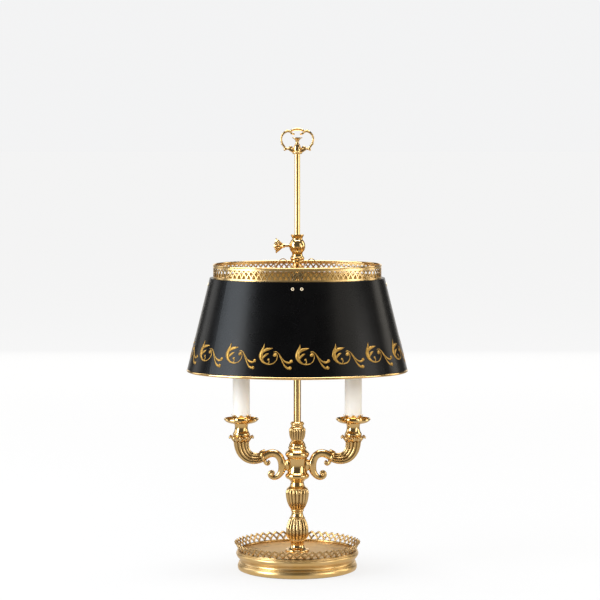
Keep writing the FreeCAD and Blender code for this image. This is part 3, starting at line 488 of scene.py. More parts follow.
def linked(name: str, data: bpy.types.ID) -> bpy.types.Object:
    """Make an object of some data and put it in the scene."""
    made = bpy.data.objects.new(name, data)
    bpy.context.scene.collection.objects.link(made)
    return made


class Mould:
    """A bmesh under work that becomes one piece of the lamp."""

    def __init__(self) -> None:
        """Start with nothing."""
        self.mesh = bmesh.new()

    def frame_at(self, here: Vector, heading: Vector, side: Vector, wide: float, deep: float) -> Matrix:
        """Matrix that lays a unit circle across a path.

        Args:
            here: The circle's centre.
            heading: The path's direction.
            side: Direction that the section's depth lies along.
            wide: Half width of the section.
            deep: Half depth of the section, along side.

        Returns:
            The matrix.
        """
        forward = heading.normalized()
        depth = (side - forward * side.dot(forward)).normalized()
        width = depth.cross(forward)
        turn = Matrix((width, depth, forward)).transposed().to_4x4()
        return Matrix.Translation(here) @ turn @ Matrix.Diagonal((wide, deep, 1.0, 1.0))

    def grow(self, edges: Sequence[bmesh.types.BMEdge]) -> tuple[list, list]:
        """Extrude edges where they are.

        Args:
            edges: The edges.

        Returns:
            The new corners and the new edges.
        """
        made = bmesh.ops.extrude_edge_only(self.mesh, edges=edges)["geom"]
        return ([item for item in made if isinstance(item, bmesh.types.BMVert)],
                [item for item in made if isinstance(item, bmesh.types.BMEdge)])

    def sweep(self, path: Sequence[Vector], sizes: Sequence[tuple[float, float]], sides: int = 8,
              side: Vector = ACROSS, ribs: int = 0, rib_depth: float = 0.0, headings: Sequence[Vector] = ()) -> None:
        """Draw a bar along a path.

        Args:
            path: Centres of the bar's sections.
            sizes: Half width and half depth of each section.
            sides: Corners of the section.
            side: Direction of the section's depth.
            ribs: Number of flutes round the section.
            rib_depth: Depth of the flutes as a share of the radius.
            headings: Directions of the path, where they aren't its own.
        """
        count = len(path)
        if not headings:
            headings = [path[min(k + 1, count - 1)] - path[max(k - 1, 0)] for k in range(count)]
        frames = [self.frame_at(path[k], headings[k], side, *sizes[k]) for k in range(count)]
        verts = bmesh.ops.create_circle(self.mesh, cap_ends=True, segments=sides, radius=1.0)["verts"]
        if sides == 4:
            square = Matrix.Rotation(math.pi / 4, 4, "Z") @ Matrix.Scale(math.sqrt(2.0), 4)
            bmesh.ops.transform(self.mesh, matrix=square, verts=verts)
        if ribs:
            for vert in verts:
                turn = math.atan2(vert.co.y, vert.co.x)
                vert.co *= 1.0 - rib_depth * (1.0 - abs(math.sin(turn * ribs / 2)))
        bmesh.ops.transform(self.mesh, matrix=frames[0], verts=verts)
        edges = list({edge for vert in verts for edge in vert.link_edges})
        for before, after in zip(frames, frames[1:]):
            verts, edges = self.grow(edges)
            bmesh.ops.transform(self.mesh, matrix=after @ before.inverted(), verts=verts)
        bmesh.ops.contextual_create(self.mesh, geom=edges)

    def tube(self, points: Sequence[Sequence[float]], deep: float, sides: int, least: float = 0.0,
             ribs: int = 0, rib_depth: float = 0.0) -> None:
        """Draw a bar in the plane of the two candles.

        Args:
            points: Places across and up with half widths, in millimetres.
            deep: Half depth as a share of the half width.
            sides: Corners of the section.
            least: Least half depth, in millimetres.
            ribs: Number of flutes round the section.
            rib_depth: Depth of the flutes as a share of the radius.
        """
        self.sweep([Vector((x, 0, z)) * MM for x, z, _ in points],
                   [(r * MM, max(r * deep, least) * MM) for *_, r in points], sides, ribs=ribs, rib_depth=rib_depth)

    def arch(self, run: Run, way: float, middle: float, low: float, high: float, half: tuple[float, float],
             sides: int, y: float = 0.0) -> None:
        """Draw one bar of a gallery's arches.

        Args:
            run: Shares across and up along the bar.
            way: Width of a bay, negative to lean the other way.
            middle: Share across that comes to X 0.
            low: Height of its foot.
            high: Height of its end.
            half: Half width and half depth.
            sides: Corners of the section.
            y: Place across the band.
        """
        path = [Vector((way * (across - middle), y, low + (high - low) * up)) for across, up in run]
        self.sweep(path, [half] * len(path), sides)

    def strip(self, count: int, step: float, low: float, high: float, thick: float) -> None:
        """Closed plain strip along a gallery.

        Args:
            count: Number of its flat lengths.
            step: One length.
            low: Its lower edge.
            high: Its upper edge.
            thick: Its thickness.
        """
        size = Matrix.Diagonal((step, thick, high - low, 1.0))
        for index in range(count):
            spot = Matrix.Translation(((index + 0.5) * step, 0, (low + high) / 2))
            box = bmesh.ops.create_cube(self.mesh, size=1.0, matrix=spot @ size)["verts"]
            ends = [face for face in {f for v in box for f in v.link_faces} if abs(face.normal.x) > 0.9]
            bmesh.ops.delete(self.mesh, geom=ends, context="FACES_ONLY")

    def wire(self, places: Sequence[Vector]) -> tuple[list, list]:
        """Closed wire through places.

        Args:
            places: The places, in millimetres.

        Returns:
            Its corners and its edges.
        """
        verts = [self.mesh.verts.new(place * MM) for place in places]
        return verts, [self.mesh.edges.new((verts[k], verts[k - 1])) for k in range(len(verts))]

    def revolve(self, geom: Sequence, steps: int) -> None:
        """Turn a wire once round the Z axis."""
        bmesh.ops.spin(self.mesh, geom=geom, cent=(0, 0, 0), axis=(0, 0, 1), angle=math.tau, steps=steps,
                       use_merge=True)

    def bead(self, centre: Vector, radius: float, stretch: Vector = Vector((1, 1, 1)), turn: float = 0.0,
             rough: int = 8) -> None:
        """Set a round or stretched bead.

        Args:
            centre: Its middle.
            radius: Its radius.
            stretch: Factors along the axes.
            turn: Lean about Y, in radians.
            rough: Faces round it.
        """
        matrix = Matrix.Translation(centre) @ Matrix.Rotation(turn, 4, "Y") @ Matrix.Diagonal((*stretch, 1.0))
        bmesh.ops.create_uvsphere(self.mesh, u_segments=rough, v_segments=max(4, rough // 2 + 1),
                                  radius=radius, matrix=matrix)

    def repeat(self, count: int, step: float) -> None:
        """Copy what is there along X.

        Args:
            count: Number of copies in all.
            step: Distance from one to the next.
        """
        first = list(self.mesh.verts) + list(self.mesh.edges) + list(self.mesh.faces)
        for index in range(1, count):
            made = bmesh.ops.duplicate(self.mesh, geom=first)["geom"]
            verts = [item for item in made if isinstance(item, bmesh.types.BMVert)]
            bmesh.ops.translate(self.mesh, vec=(step * index, 0, 0), verts=verts)

    def warp(self, rule: Callable[[Vector], Vector]) -> None:
        """Move every corner by a rule."""
        for vert in self.mesh.verts:
            vert.co = rule(vert.co)

    def mirrored(self) -> None:
        """Add the same shape on the other side of the lamp."""
        geom = list(self.mesh.verts) + list(self.mesh.edges) + list(self.mesh.faces)
        bmesh.ops.mirror(self.mesh, geom=geom, merge_dist=MERGE, axis="X")

    def piece(self, name: str, body: Body, slot: Slot, material: bpy.types.Material, replaced: str = "",
              smooth: bool = True, outward: bool = True) -> bpy.types.Object:
        """Finish the mesh as a piece of the lamp.

        Args:
            name: The piece's name.
            body: The body that it rides on.
            slot: The record's slot for its finish; not used.
            material: Its material.
            replaced: CAD node that it stands for.
            smooth: Whether its faces are smooth.
            outward: Whether its normals are worked out again.

        Returns:
            The piece's object.
        """
        bmesh.ops.remove_doubles(self.mesh, verts=self.mesh.verts, dist=MERGE)
        if outward:
            bmesh.ops.recalc_face_normals(self.mesh, faces=self.mesh.faces)
        for face in self.mesh.faces:
            face.smooth = smooth
        data = bpy.data.meshes.new(name)
        self.mesh.to_mesh(data)
        self.mesh.free()
        data.materials.append(material)
        made = linked(name, data)
        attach(made, body.value)
        if replaced:
            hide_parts(replaced)
        log.info("%s: %d faces on %s", name, len(data.polygons), body.value)
        return made


@dataclass(frozen=True)
class Oval:
    """Four-centre oval that the shade and its gallery follow."""

    half_x: float
    half_y: float
    end_share: float = 0.8

    def arcs(self) -> list[tuple[float, float, float, float, float]]:
        """Arcs from the front middle round by the right.

        Returns:
            Radius, centre x, centre y, first angle and sweep of each arc.
        """
        end_r = self.half_y * self.end_share
        side_r = (self.half_x**2 + self.half_y**2 - 2 * self.half_x * end_r) / (2 * (self.half_y - end_r))
        end_x = self.half_x - end_r
        side_y = side_r - self.half_y
        lean = math.atan2(side_y, end_x)
        quarter = math.pi / 2
        return [
            (side_r, 0.0, side_y, -quarter, quarter - lean),
            (end_r, end_x, 0.0, -lean, 2 * lean),
            (side_r, 0.0, -side_y, lean, math.pi - 2 * lean),
            (end_r, -end_x, 0.0, math.pi - lean, 2 * lean),
            (side_r, 0.0, side_y, math.pi + lean, quarter - lean),
        ]

    def length(self) -> float:
        """Distance round the oval."""
        return sum(radius * sweep for radius, _, _, _, sweep in self.arcs())

    def find(self, distance: float) -> tuple[int, float]:
        """Arc at a distance from the front middle, and the share of that arc."""
        rest = distance % self.length()
        for index, (radius, _, _, _, sweep) in enumerate(self.arcs()):
            if rest <= radius * sweep:
                return index, rest / (radius * sweep)
            rest -= radius * sweep
        return 4, 1.0

    def at(self, index: int, share: float) -> tuple[Vector, Vector]:
        """Point of an arc and the way out from it."""
        radius, x, y, first, sweep = self.arcs()[index]
        angle = first + sweep * share
        out = Vector((math.cos(angle), math.sin(angle), 0))
        return Vector((x, y, 0)) + out * radius, out


@dataclass
class ShadeLook:
    """What the oval shade carries: eyelets, bridge, gilt border and gallery."""

    finish: dict[Slot, bpy.types.Material]
    gilt: bpy.types.Material
    eyelet: bpy.types.Material
    shadow: bpy.types.Material
    eyelet_z: float = 0.4331
    eyelet_pitch: float = 0.0135
    lean_x: float = 0.249
    lean_y: float = 0.184
    strap_x: float = 130.4
    strap_y: float = 95.4
    top_x: float = 0.132
    top_y: float = 0.0974
    bottom_x: float = 0.166
    bottom_y: float = 0.1225
    top_z: float = 0.442
    bottom_z: float = 0.3054
    repeats: int = 16
    border_z: float = 0.3230
    border_shift: float = 0.0125
    stroke_lift: float = 0.00022
    band_x: float = 0.1266
    band_y: float = 0.0936
    band_t: float = 0.0009
    band_z: float = 0.443
    band_h: float = 0.0181
    bays: int = 84
    bar: float = 0.0007
    outline: float = 0.00036
    sill: float = 0.0026
    strokes: dict[str, list[Triple]] = field(default_factory=lambda: {
        "leaf": [(528, 186, 3), (521, 232, 22), (502, 286, 42), (492, 338, 52), (504, 388, 42), (536, 426, 27),
                 (580, 448, 16), (630, 450, 12), (678, 430, 10), (708, 390, 9), (716, 346, 9), (702, 312, 10),
                 (680, 304, 12)],
        "second_leaf": [(500, 322, 8), (522, 286, 30), (560, 260, 38), (604, 250, 26), (648, 240, 4)],
        "third_leaf": [(514, 388, 8), (534, 354, 24), (562, 328, 26), (596, 310, 4)],
        "inner_curl": [(588, 448, 7), (606, 430, 10), (610, 410, 9), (600, 396, 9)],
        "tendril": [(664, 290, 5), (694, 283, 8), (727, 304, 9), (757, 340, 9), (789, 384, 11), (824, 416, 18),
                    (864, 430, 25), (898, 420, 18)],
        "branch": [(730, 308, 5), (753, 350, 9), (777, 398, 11), (805, 448, 16), (836, 488, 24), (870, 506, 26)],
    })
    drops: Run = ((902, 408, 21), (886, 500, 22), (680, 330, 22), (598, 390, 14))
    drawing_mm: float = 0.1119
    drawing_origin: tuple[float, float] = (600.0, 460.0)

    border_share: float = 0.16
    border_squash: float = 0.985
    long_edge: float = 0.003
    paint: float = 0.00016
    arch: Run = ((0.0, 0.0), (0.06, 0.16), (0.15, 0.32), (0.29, 0.47), (0.5, 0.61), (0.71, 0.75), (0.87, 0.88),
                 (1.0, 1.0))
    arch_foot: float = 0.0006
    arch_end: float = 0.0020
    top_strip: float = 0.0028
    depths: tuple[float, float] = (0.5, 0.42)
    shadow_y: float = 0.0001
    eyelet_ring: Run = ((1.25, -1.9), (1.25, 0.3), (1.6, 0.85), (2.1, 0.75), (2.4, 0.25), (2.4, -0.05),
                        (1.75, -0.05), (1.75, -1.9))
    strap_half: float = 0.7
    tab_half: float = 9.0
    tab_z: float = 440.9
    tab_steps: tuple[float, ...] = (3.0, 9.0, 15.6)
    hub: Run = ((6.7, 460.2), (11.4, 460.2), (12.2, 461.0), (11.4, 461.9), (6.7, 461.9))

    def oval_at(self, share: float) -> Oval:
        """Oval of the wall at a share of its height."""
        return Oval(self.bottom_x + (self.top_x - self.bottom_x) * share,
                    self.bottom_y + (self.top_y - self.bottom_y) * share)

    def wall_point(self, distance: float, z: float, lift: float) -> Vector:
        """Place on the wall.

        Args:
            distance: Distance round the wall at the border's height.
            z: Height.
            lift: Distance out of the wall.

        Returns:
            The point.
        """
        share = (z - self.bottom_z) / (self.top_z - self.bottom_z)
        index, part = self.oval_at(self.border_share).find(distance)
        (low_p, low_n), (high_p, high_n) = (self.oval_at(end).at(index, part) for end in (0.0, 1.0))
        spot = low_p.lerp(high_p, share)
        out = low_n.lerp(high_n, share).normalized()
        return Vector((spot.x, spot.y, z)) + out * lift

    def border(self) -> None:
        """Gilt scroll border, laid on the wall as thin paint."""
        mould = Mould()
        unit = self.drawing_mm * MM
        left, base = self.drawing_origin
        for run in self.strokes.values():
            line = [((x - left) * unit, 0.0, (base - y) * unit, w * unit / 2) for x, y, w in run]
            self.ribbon(mould, spline(line, 4))
        upright = Matrix.Rotation(math.pi / 2, 4, "X")
        for x, y, radius in self.drops:
            bmesh.ops.create_circle(mould.mesh, cap_ends=True, segments=12, radius=radius * unit,
                                    matrix=Matrix.Translation(((x - left) * unit, 0, (base - y) * unit)) @ upright)
        mould.repeat(self.repeats, self.oval_at(self.border_share).length() / self.repeats)
        long_edges = [edge for edge in mould.mesh.edges if edge.calc_length() > self.long_edge]
        bmesh.ops.subdivide_edges(mould.mesh, edges=long_edges, cuts=1)
        mould.warp(lambda co: self.wall_point(co.x + self.border_shift, self.border_z + co.z * self.border_squash,
                                              self.stroke_lift - co.y))
        piece = mould.piece("scroll_border", Body.SHADE, Slot.TOLE, self.gilt, outward=False)
        thick = piece.modifiers.new("paint", "SOLIDIFY")
        thick.thickness = self.paint
        thick.offset = 0.0

    def ribbon(self, mould: Mould, path: Sequence[tuple[float, ...]]) -> None:
        """One brush stroke, its path given as x, y, z and half width.

        Args:
            mould: The mesh that it goes into.
            path: The stroke's middle line.
        """
        ends = []
        for index, (x, y, z, half) in enumerate(path):
            before = path[max(index - 1, 0)]
            after = path[min(index + 1, len(path) - 1)]
            heading = Vector((after[0] - before[0], 0, after[2] - before[2])).normalized()
            aside = Vector((-heading.z, 0, heading.x)) * half
            here = Vector((x, y, z))
            if not ends:
                ends = [mould.mesh.verts.new(here - aside), mould.mesh.verts.new(here + aside)]
                edge = mould.mesh.edges.new(ends)
                continue
            edge, = mould.grow([edge])[1]
            ends = sorted(edge.verts, key=lambda vert: (vert.co - ends[0].co).length)
            ends[0].co, ends[1].co = here - aside, here + aside

    def gallery(self) -> None:
        """Pierced band of interlaced arches under the rail, each bar outlined by its shadow."""
        oval = Oval(self.band_x - self.band_t / 2, self.band_y - self.band_t / 2)
        pitch = oval.length() / self.bays
        low, high = self.sill - self.arch_foot, self.band_h - self.arch_end
        mould = Mould()
        for way, depth in zip((1, -1), self.depths):
            mould.arch(self.arch, way * pitch, 0.5, low, high, (self.bar, self.band_t * depth), 4)
        front = len(mould.mesh.faces)
        for way in (1, -1):
            mould.arch(self.arch, way * pitch, 0.5, low, high, (self.bar + self.outline, self.band_t * 0.3), 4,
                       self.shadow_y)
        for index, face in enumerate(mould.mesh.faces):
            face.material_index = int(index >= front)
        mould.repeat(self.bays, pitch)
        mould.strip(self.bays * 2, pitch / 2, 0.0, self.sill, self.band_t)
        mould.strip(self.bays * 2, pitch / 2, self.band_h - self.top_strip, self.band_h, self.band_t)
        mould.warp(lambda co: self.on_band(oval, co))
        made = mould.piece("gallery_band", Body.SHADE, Slot.PIERCED, self.finish[Slot.PIERCED], "crown_band",
                           smooth=False)
        made.data.materials.append(self.shadow)

    def on_band(self, oval: Oval, co: Vector) -> Vector:
        """Wrap a flat place of the band round the oval."""
        spot, out = oval.at(*oval.find(co.x))
        return Vector((spot.x, spot.y, self.band_z + co.z)) - out * co.y

    def eyelets(self) -> None:
        """Hollow rivets of the bridge's tabs, a ring with a flange round a bore: a pale painted highlight on the
        brass, and painted shade in the bore.
        """
        mould = Mould()
        oval = self.oval_at((self.eyelet_z - self.bottom_z) / (self.top_z - self.bottom_z))
        quarter = oval.length() / 4
        for turn in range(4):
            for way in (-1, 1):
                spot, out = oval.at(*oval.find(quarter * turn + way * self.eyelet_pitch / 2))
                face = (out + UP * (self.lean_x if turn % 2 else self.lean_y)).normalized()
                side = UP.cross(face).normalized()
                turned = Matrix((side, face.cross(side), face)).transposed().to_4x4()
                lay = Matrix.Translation(Vector((spot.x, spot.y, self.eyelet_z))) @ turned
                known = set(mould.mesh.verts)
                verts, edges = mould.wire([Vector((radius, 0, lift)) for radius, lift in self.eyelet_ring])
                mould.revolve(verts + edges, 20)
                bmesh.ops.transform(mould.mesh, matrix=lay, verts=[v for v in mould.mesh.verts if v not in known])
        mould.piece("eyelets", Body.SHADE, Slot.BRASS, self.eyelet, "bridge_rivets")

    def strap(self, end: float, lift: float) -> list[tuple[float, ...]]:
        """Run of one strap from the hub to the foot of its tab.

        Args:
            end: Distance from the axis to the wall.
            lift: Share of the full hump.

        Returns:
            Distance from the axis, height and half width of its points, in millimetres.
        """
        humps = [(8.0, 461.4, 4.4), (12.5, 461.3, 4.2), (15.0, 461.6 + 4.8 * lift, 4.0),
                 (17.2, 461.6 + 8.3 * lift, 3.8), (20.4, 461.5 + 10.3 * lift, 3.8), (23.8, 461.2 + 9.9 * lift, 3.8),
                 (27.2, 460.8 + 7.4 * lift, 4.0), (31.0, 460.2 + 3.4 * lift, 4.2), (36.0, 459.2, 4.6),
                 (48.0, 456.4, 6.0), (end * 0.72, 447.0, 8.0), (end - 9.5, 441.1, self.tab_half),
                 (end + 0.4, self.tab_z, self.tab_half)]
        return spline(humps, 3) + [(end + down * 0.25 + 0.4, self.tab_z - down, self.tab_half)
                                   for down in self.tab_steps]

    def bridge(self) -> None:
        """Four straps that carry the shade from the clamp, two of them humped, with their hub."""
        mould = Mould()
        for turn in range(4):
            known = set(mould.mesh.verts)
            run = self.strap((self.strap_x, self.strap_y)[turn % 2], float(turn % 2 == 0))
            mould.sweep([Vector((x, 0, z)) * MM for x, z, _ in run],
                        [(self.strap_half * MM, wide * MM) for *_, wide in run])
            bmesh.ops.rotate(mould.mesh, cent=(0, 0, 0), matrix=Matrix.Rotation(turn * math.pi / 2, 3, "Z"),
                             verts=[vert for vert in mould.mesh.verts if vert not in known])
        verts, edges = mould.wire([Vector((radius, 0, z)) for radius, z in self.hub])
        mould.revolve(verts + edges, 48)
        mould.piece("bridge_straps", Body.SHADE, Slot.BRASS, self.finish[Slot.BRASS], "shade_bridge")

    def build(self) -> None:
        """Make the shade's own pieces."""
        self.eyelets()
        self.bridge()
        self.border()
        self.gallery()


@dataclass
class TrayLook:
    """The flared gallery of interlaced pointed arches on the base."""

    finish: bpy.types.Material
    loops: int = 52
    foot_r: float = 0.0874
    top_r: float = 0.0948
    foot_z: float = 0.0269
    rim_z: float = 0.0294
    top_z: float = 0.0429
    bar: float = 0.0016
    depths: tuple[float, float] = (0.72, 0.62)
    arch_foot: float = 0.0030
    arch: Run = ((0.0, 0.0), (0.05, 0.16), (0.15, 0.34), (0.30, 0.50), (0.5, 0.66), (0.72, 0.81), (0.90, 0.94),
                 (1.0, 1.0))
    strip_h: float = 0.0038
    strip_t: float = 0.0015

    def build(self) -> None:
        """Make the gallery."""
        mould = Mould()
        pitch = math.tau * self.top_r / self.loops
        crown = self.top_z - self.foot_z - self.bar
        for way, depth in zip((1, -1), self.depths):
            mould.arch(self.arch, way * pitch, 1.0, self.arch_foot, crown, (self.bar, self.bar * depth), 8)
        mould.bead(Vector((0, 0, crown - self.bar * 0.3)), self.bar * 1.15)
        mould.repeat(self.loops, pitch)
        mould.strip(self.loops * 2, pitch / 2, 0.0, self.strip_h, self.strip_t)
        mould.warp(self.on_cone)
        mould.piece("tray_gallery", Body.STAND, Slot.PIERCED, self.finish, "base_gallery")

    def on_cone(self, co: Vector) -> Vector:
        """Wrap a flat place round the flaring ring."""
        height = co.z
        rim = self.rim_z - self.foot_z
        share = max(0.0, height - rim) / (self.top_z - self.foot_z - rim)
        radius = self.foot_r + (self.top_r - self.foot_r) * share - co.y
        angle = co.x / self.top_r
        return Vector((radius * math.sin(angle), -radius * math.cos(angle), self.foot_z + height))


@dataclass
class FinialLook:
    """The pierced loop on top of the stem."""

    finish: dict[Slot, bpy.types.Material]
    side_run: Run = (
        (-12.3, 664.2, 1.0), (-15.2, 662.9, 1.8), (-18.8, 661.4, 1.8), (-22.4, 657.3, 1.6), (-24.0, 651.3, 1.5),
        (-22.6, 645.0, 1.55), (-19.6, 640.2, 1.7), (-17.4, 636.6, 1.8), (-14.2, 636.9, 1.6), (-11.4, 635.4, 1.6),
        (-8.6, 633.6, 1.7), (-5.6, 632.2, 1.6))
    top_run: Run = (
        (-6.0, 659.2, 1.3), (-8.0, 659.6, 1.5), (-9.6, 661.2, 1.5), (-9.3, 663.4, 1.6), (-7.3, 664.8, 1.7),
        (-3.7, 665.9, 1.9), (0.0, 666.3, 2.1), (3.7, 665.9, 1.9), (7.3, 664.8, 1.7), (9.3, 663.4, 1.6),
        (9.6, 661.2, 1.5), (8.0, 659.6, 1.5), (6.0, 659.2, 1.3))
    inner_run: Run = (
        (-12.4, 636.2, 1.2), (-11.8, 638.6, 1.5), (-9.6, 639.6, 1.6), (-7.2, 638.2, 1.5))
    beads: Run = (
        (-13.6, 663.4, 2.5, 1.5, 0.35), (-18.0, 636.4, 2.4, 1.4, -0.8), (-22.7, 643.9, 2.0, 1.3, 1.0),
        (-22.6, 657.4, 1.9, 1.2, -0.9), (-5.6, 659.0, 2.0, 1.0, 0.0), (-6.6, 636.4, 2.6, 1.1, 0.5),
        (-11.2, 662.6, 2.0, 1.3, 0.6), (-10.4, 637.6, 2.2, 1.4, 0.5))

    def build(self) -> None:
        """Make the loop."""
        mould = Mould()
        for run in (self.side_run, self.inner_run):
            mould.tube(spline(run, 4), 0.95, 10)
        for x, z, radius, stretch, turn in self.beads:
            mould.bead(Vector((x, 0, z)) * MM, radius * MM, Vector((stretch, 0.85, 0.8)), turn, 10)
        mould.mirrored()
        mould.tube(spline(self.top_run, 4), 0.95, 10)
        mould.bead(Vector((0, 0, 666.0)) * MM, 2.2 * MM, Vector((1.6, 0.85, 0.9)), 0.0, 10)
        mould.piece("finial_loop", Body.STAND, Slot.BRASS, self.finish[Slot.BRASS], "finial_ring")


@dataclass
class ArmLook:
    """One candle branch: fluted elbow with its cuff, C-scroll, curl and leaf."""

    finish: dict[Slot, bpy.types.Material]
    elbow: Run = (
        (84.6, 196.3, 12.3, 0.0), (84.45, 191.0, 11.8, 4.0), (83.7, 185.8, 11.3, 12.0), (82.0, 180.6, 10.8, 24.0),
        (79.2, 176.1, 10.3, 38.0), (75.8, 172.6, 9.8, 52.0), (71.6, 170.2, 9.3, 66.0), (66.6, 168.9, 8.8, 82.0),
        (61.2, 168.8, 8.3, 96.0), (56.2, 169.8, 7.8, 108.0), (51.6, 171.4, 7.4, 112.0))
    scroll: Run = (
        (52.6, 171.0, 7.2), (48.4, 173.2, 6.6), (44.0, 175.4, 6.4), (39.6, 176.6, 6.3), (34.8, 176.6, 6.3),
        (30.2, 174.6, 6.3), (26.6, 171.0, 6.3), (24.4, 166.4, 6.3), (22.9, 161.0, 6.6), (22.8, 155.0, 6.4),
        (24.0, 149.2, 5.7), (26.8, 144.3, 4.8), (30.6, 140.8, 4.2), (35.0, 139.4, 3.8), (39.4, 140.5, 3.4),
        (42.0, 143.4, 3.0), (41.6, 147.0, 2.6), (38.9, 149.0, 2.3), (36.0, 147.8, 2.0), (35.6, 145.0, 1.8))
    curl: Run = (
        (50.6, 168.6, 3.2), (49.6, 165.6, 3.0), (48.0, 161.8, 2.6), (45.4, 159.8, 2.3), (42.8, 161.0, 2.0),
        (42.6, 163.8, 1.8), (44.8, 165.2, 1.5))
    leaf: Run = (
        (56.0, 176.4, 3.2), (53.6, 178.6, 2.8), (51.2, 180.4, 2.1), (49.4, 182.2, 1.2))

    cuff: Run = ((54.8, 170.2, 7.0), (53.8, 170.6, 8.0), (52.6, 171.1, 8.3), (51.4, 171.6, 7.9), (50.4, 172.1, 6.6))
    seat: Run = ((12.2, 158.6, 10.5), (13.6, 158.6, 10.2), (15.2, 158.6, 9.2), (16.6, 158.6, 8.2), (20.4, 158.6, 7.2))

    def build(self) -> None:
        """Make both branches."""
        for side, name in SIDES:
            mould = Mould()
            self.fluted_elbow(mould)
            self.smooth_scroll(mould)
            if side < 0:
                bmesh.ops.scale(mould.mesh, vec=(-1, 1, 1), verts=mould.mesh.verts)
            mould.piece(f"branch_{name}", Body.STAND, Slot.FLUTED, self.finish[Slot.FLUTED], f"arm_{name}")

    def fluted_elbow(self, mould: Mould) -> None:
        """Tapering elbow with rounded ribs, and the cuff where it ends."""
        points = spline(self.elbow, 2)
        path = [Vector((x, 0, z)) * MM for x, z, _, _ in points]
        headings = [Vector((math.sin(math.radians(-a)), 0, -math.cos(math.radians(a)))) for *_, a in points]
        sizes = [(r * MM, r * MM) for _, _, r, _ in points]
        mould.sweep(path, sizes, sides=120, ribs=12, rib_depth=0.24, headings=headings)
        mould.tube(self.cuff, 0.96, 32)

    def smooth_scroll(self, mould: Mould) -> None:
        """C-scroll that ends in a volute, with the small curl, the leaf and the seat on the hub."""
        mould.tube(spline(self.scroll, 3), 0.98, 20, 3.4, 4, 0.07)
        mould.tube(spline(self.curl, 3), 1.45, 20)
        mould.tube(spline(self.leaf, 3), 1.5, 20)
        mould.bead(Vector((38.4, 0, 144.4)) * MM, 3.8 * MM, Vector((1, 1.6, 1)), 0.0, 16)
        mould.bead(Vector((45.0, 0, 162.4)) * MM, 2.0 * MM, Vector((1, 2.0, 1)), 0.0, 12)
        mould.tube(self.seat, 0.62, 24)


@dataclass
class CandleLook:
    """Leaf collar under each candle's cup and ring of leaf points round its sleeve."""

    finish: dict[Slot, bpy.types.Material]
    reach: float = 84.6
    collar_z: float = 196.3
    leaves: int = 10
    collar: Run = ((11.6, 0.0), (14.4, 1.6), (15.4, 4.0), (14.6, 6.4), (12.9, 7.2))
    leaf: Run = ((10.9, -1.6, 2.6, 1.3), (13.2, 2.0, 3.4, 1.7), (15.4, 5.2, 4.0, 1.8), (17.3, 6.4, 3.7, 1.7),
                 (18.6, 5.0, 2.8, 1.3), (18.9, 3.4, 1.8, 0.8))
    ring_z: float = 224.4
    points: int = 8
    ring: Run = ((14.9, 1.2), (15.1, 3.6), (14.3, 5.8), (13.6, 8.2), (13.3, 8.2))
    point: Run = ((13.7, 6.4, 5.4, 0.45), (13.7, 8.4, 4.9, 0.45), (13.9, 9.8, 3.8, 0.45), (14.3, 11.0, 2.4, 0.45),
                  (14.8, 11.8, 0.9, 0.45))

    def build(self) -> None:
        """Make the collar and the ring on both sides."""
        for side, name in SIDES:
            axis = Matrix.Translation(Vector((self.reach * side, 0, 0)) * MM)
            collar = self.whorl(axis, self.collar_z, self.collar, self.leaves, 0.5, self.leaf)
            collar.piece(f"leaf_collar_{name}", Body.STAND, Slot.BRASS, self.finish[Slot.FLUTED],
                         f"candle_collar_{name}")
            ring = self.whorl(axis, self.ring_z, self.ring, self.points, 0.0, self.point)
            ring.piece(f"point_ring_{name}", Body.STAND, Slot.BRASS, self.finish[Slot.BRASS], f"candle_crown_{name}")

    def whorl(self, axis: Matrix, base: float, body: Run, count: int, start: float, leaf: Run) -> Mould:
        """Turned ring with leaves round it.

        Args:
            axis: The candle's axis.
            base: Height that the other heights count from.
            body: Radius and height of the ring's turns.
            count: Number of leaves.
            start: Place of the first leaf, in steps from one to the next.
            leaf: Radius, height, half width and half thickness along a leaf.

        Returns:
            The mesh.
        """
        mould = Mould()
        mould.sweep([UP * (base + z) * MM for _, z in body], [(r * MM, r * MM) for r, _ in body], sides=48,
                    headings=[UP] * len(body))
        for index in range(count):
            turn = math.tau * (index + start) / count
            out = Vector((math.cos(turn), math.sin(turn), 0))
            mould.sweep([(out * r + UP * (base + z)) * MM for r, z, _, _ in leaf],
                        [(thick * MM, wide * MM) for *_, wide, thick in leaf], side=UP.cross(out))
        bmesh.ops.transform(mould.mesh, matrix=axis, verts=mould.mesh.verts)
        return mould


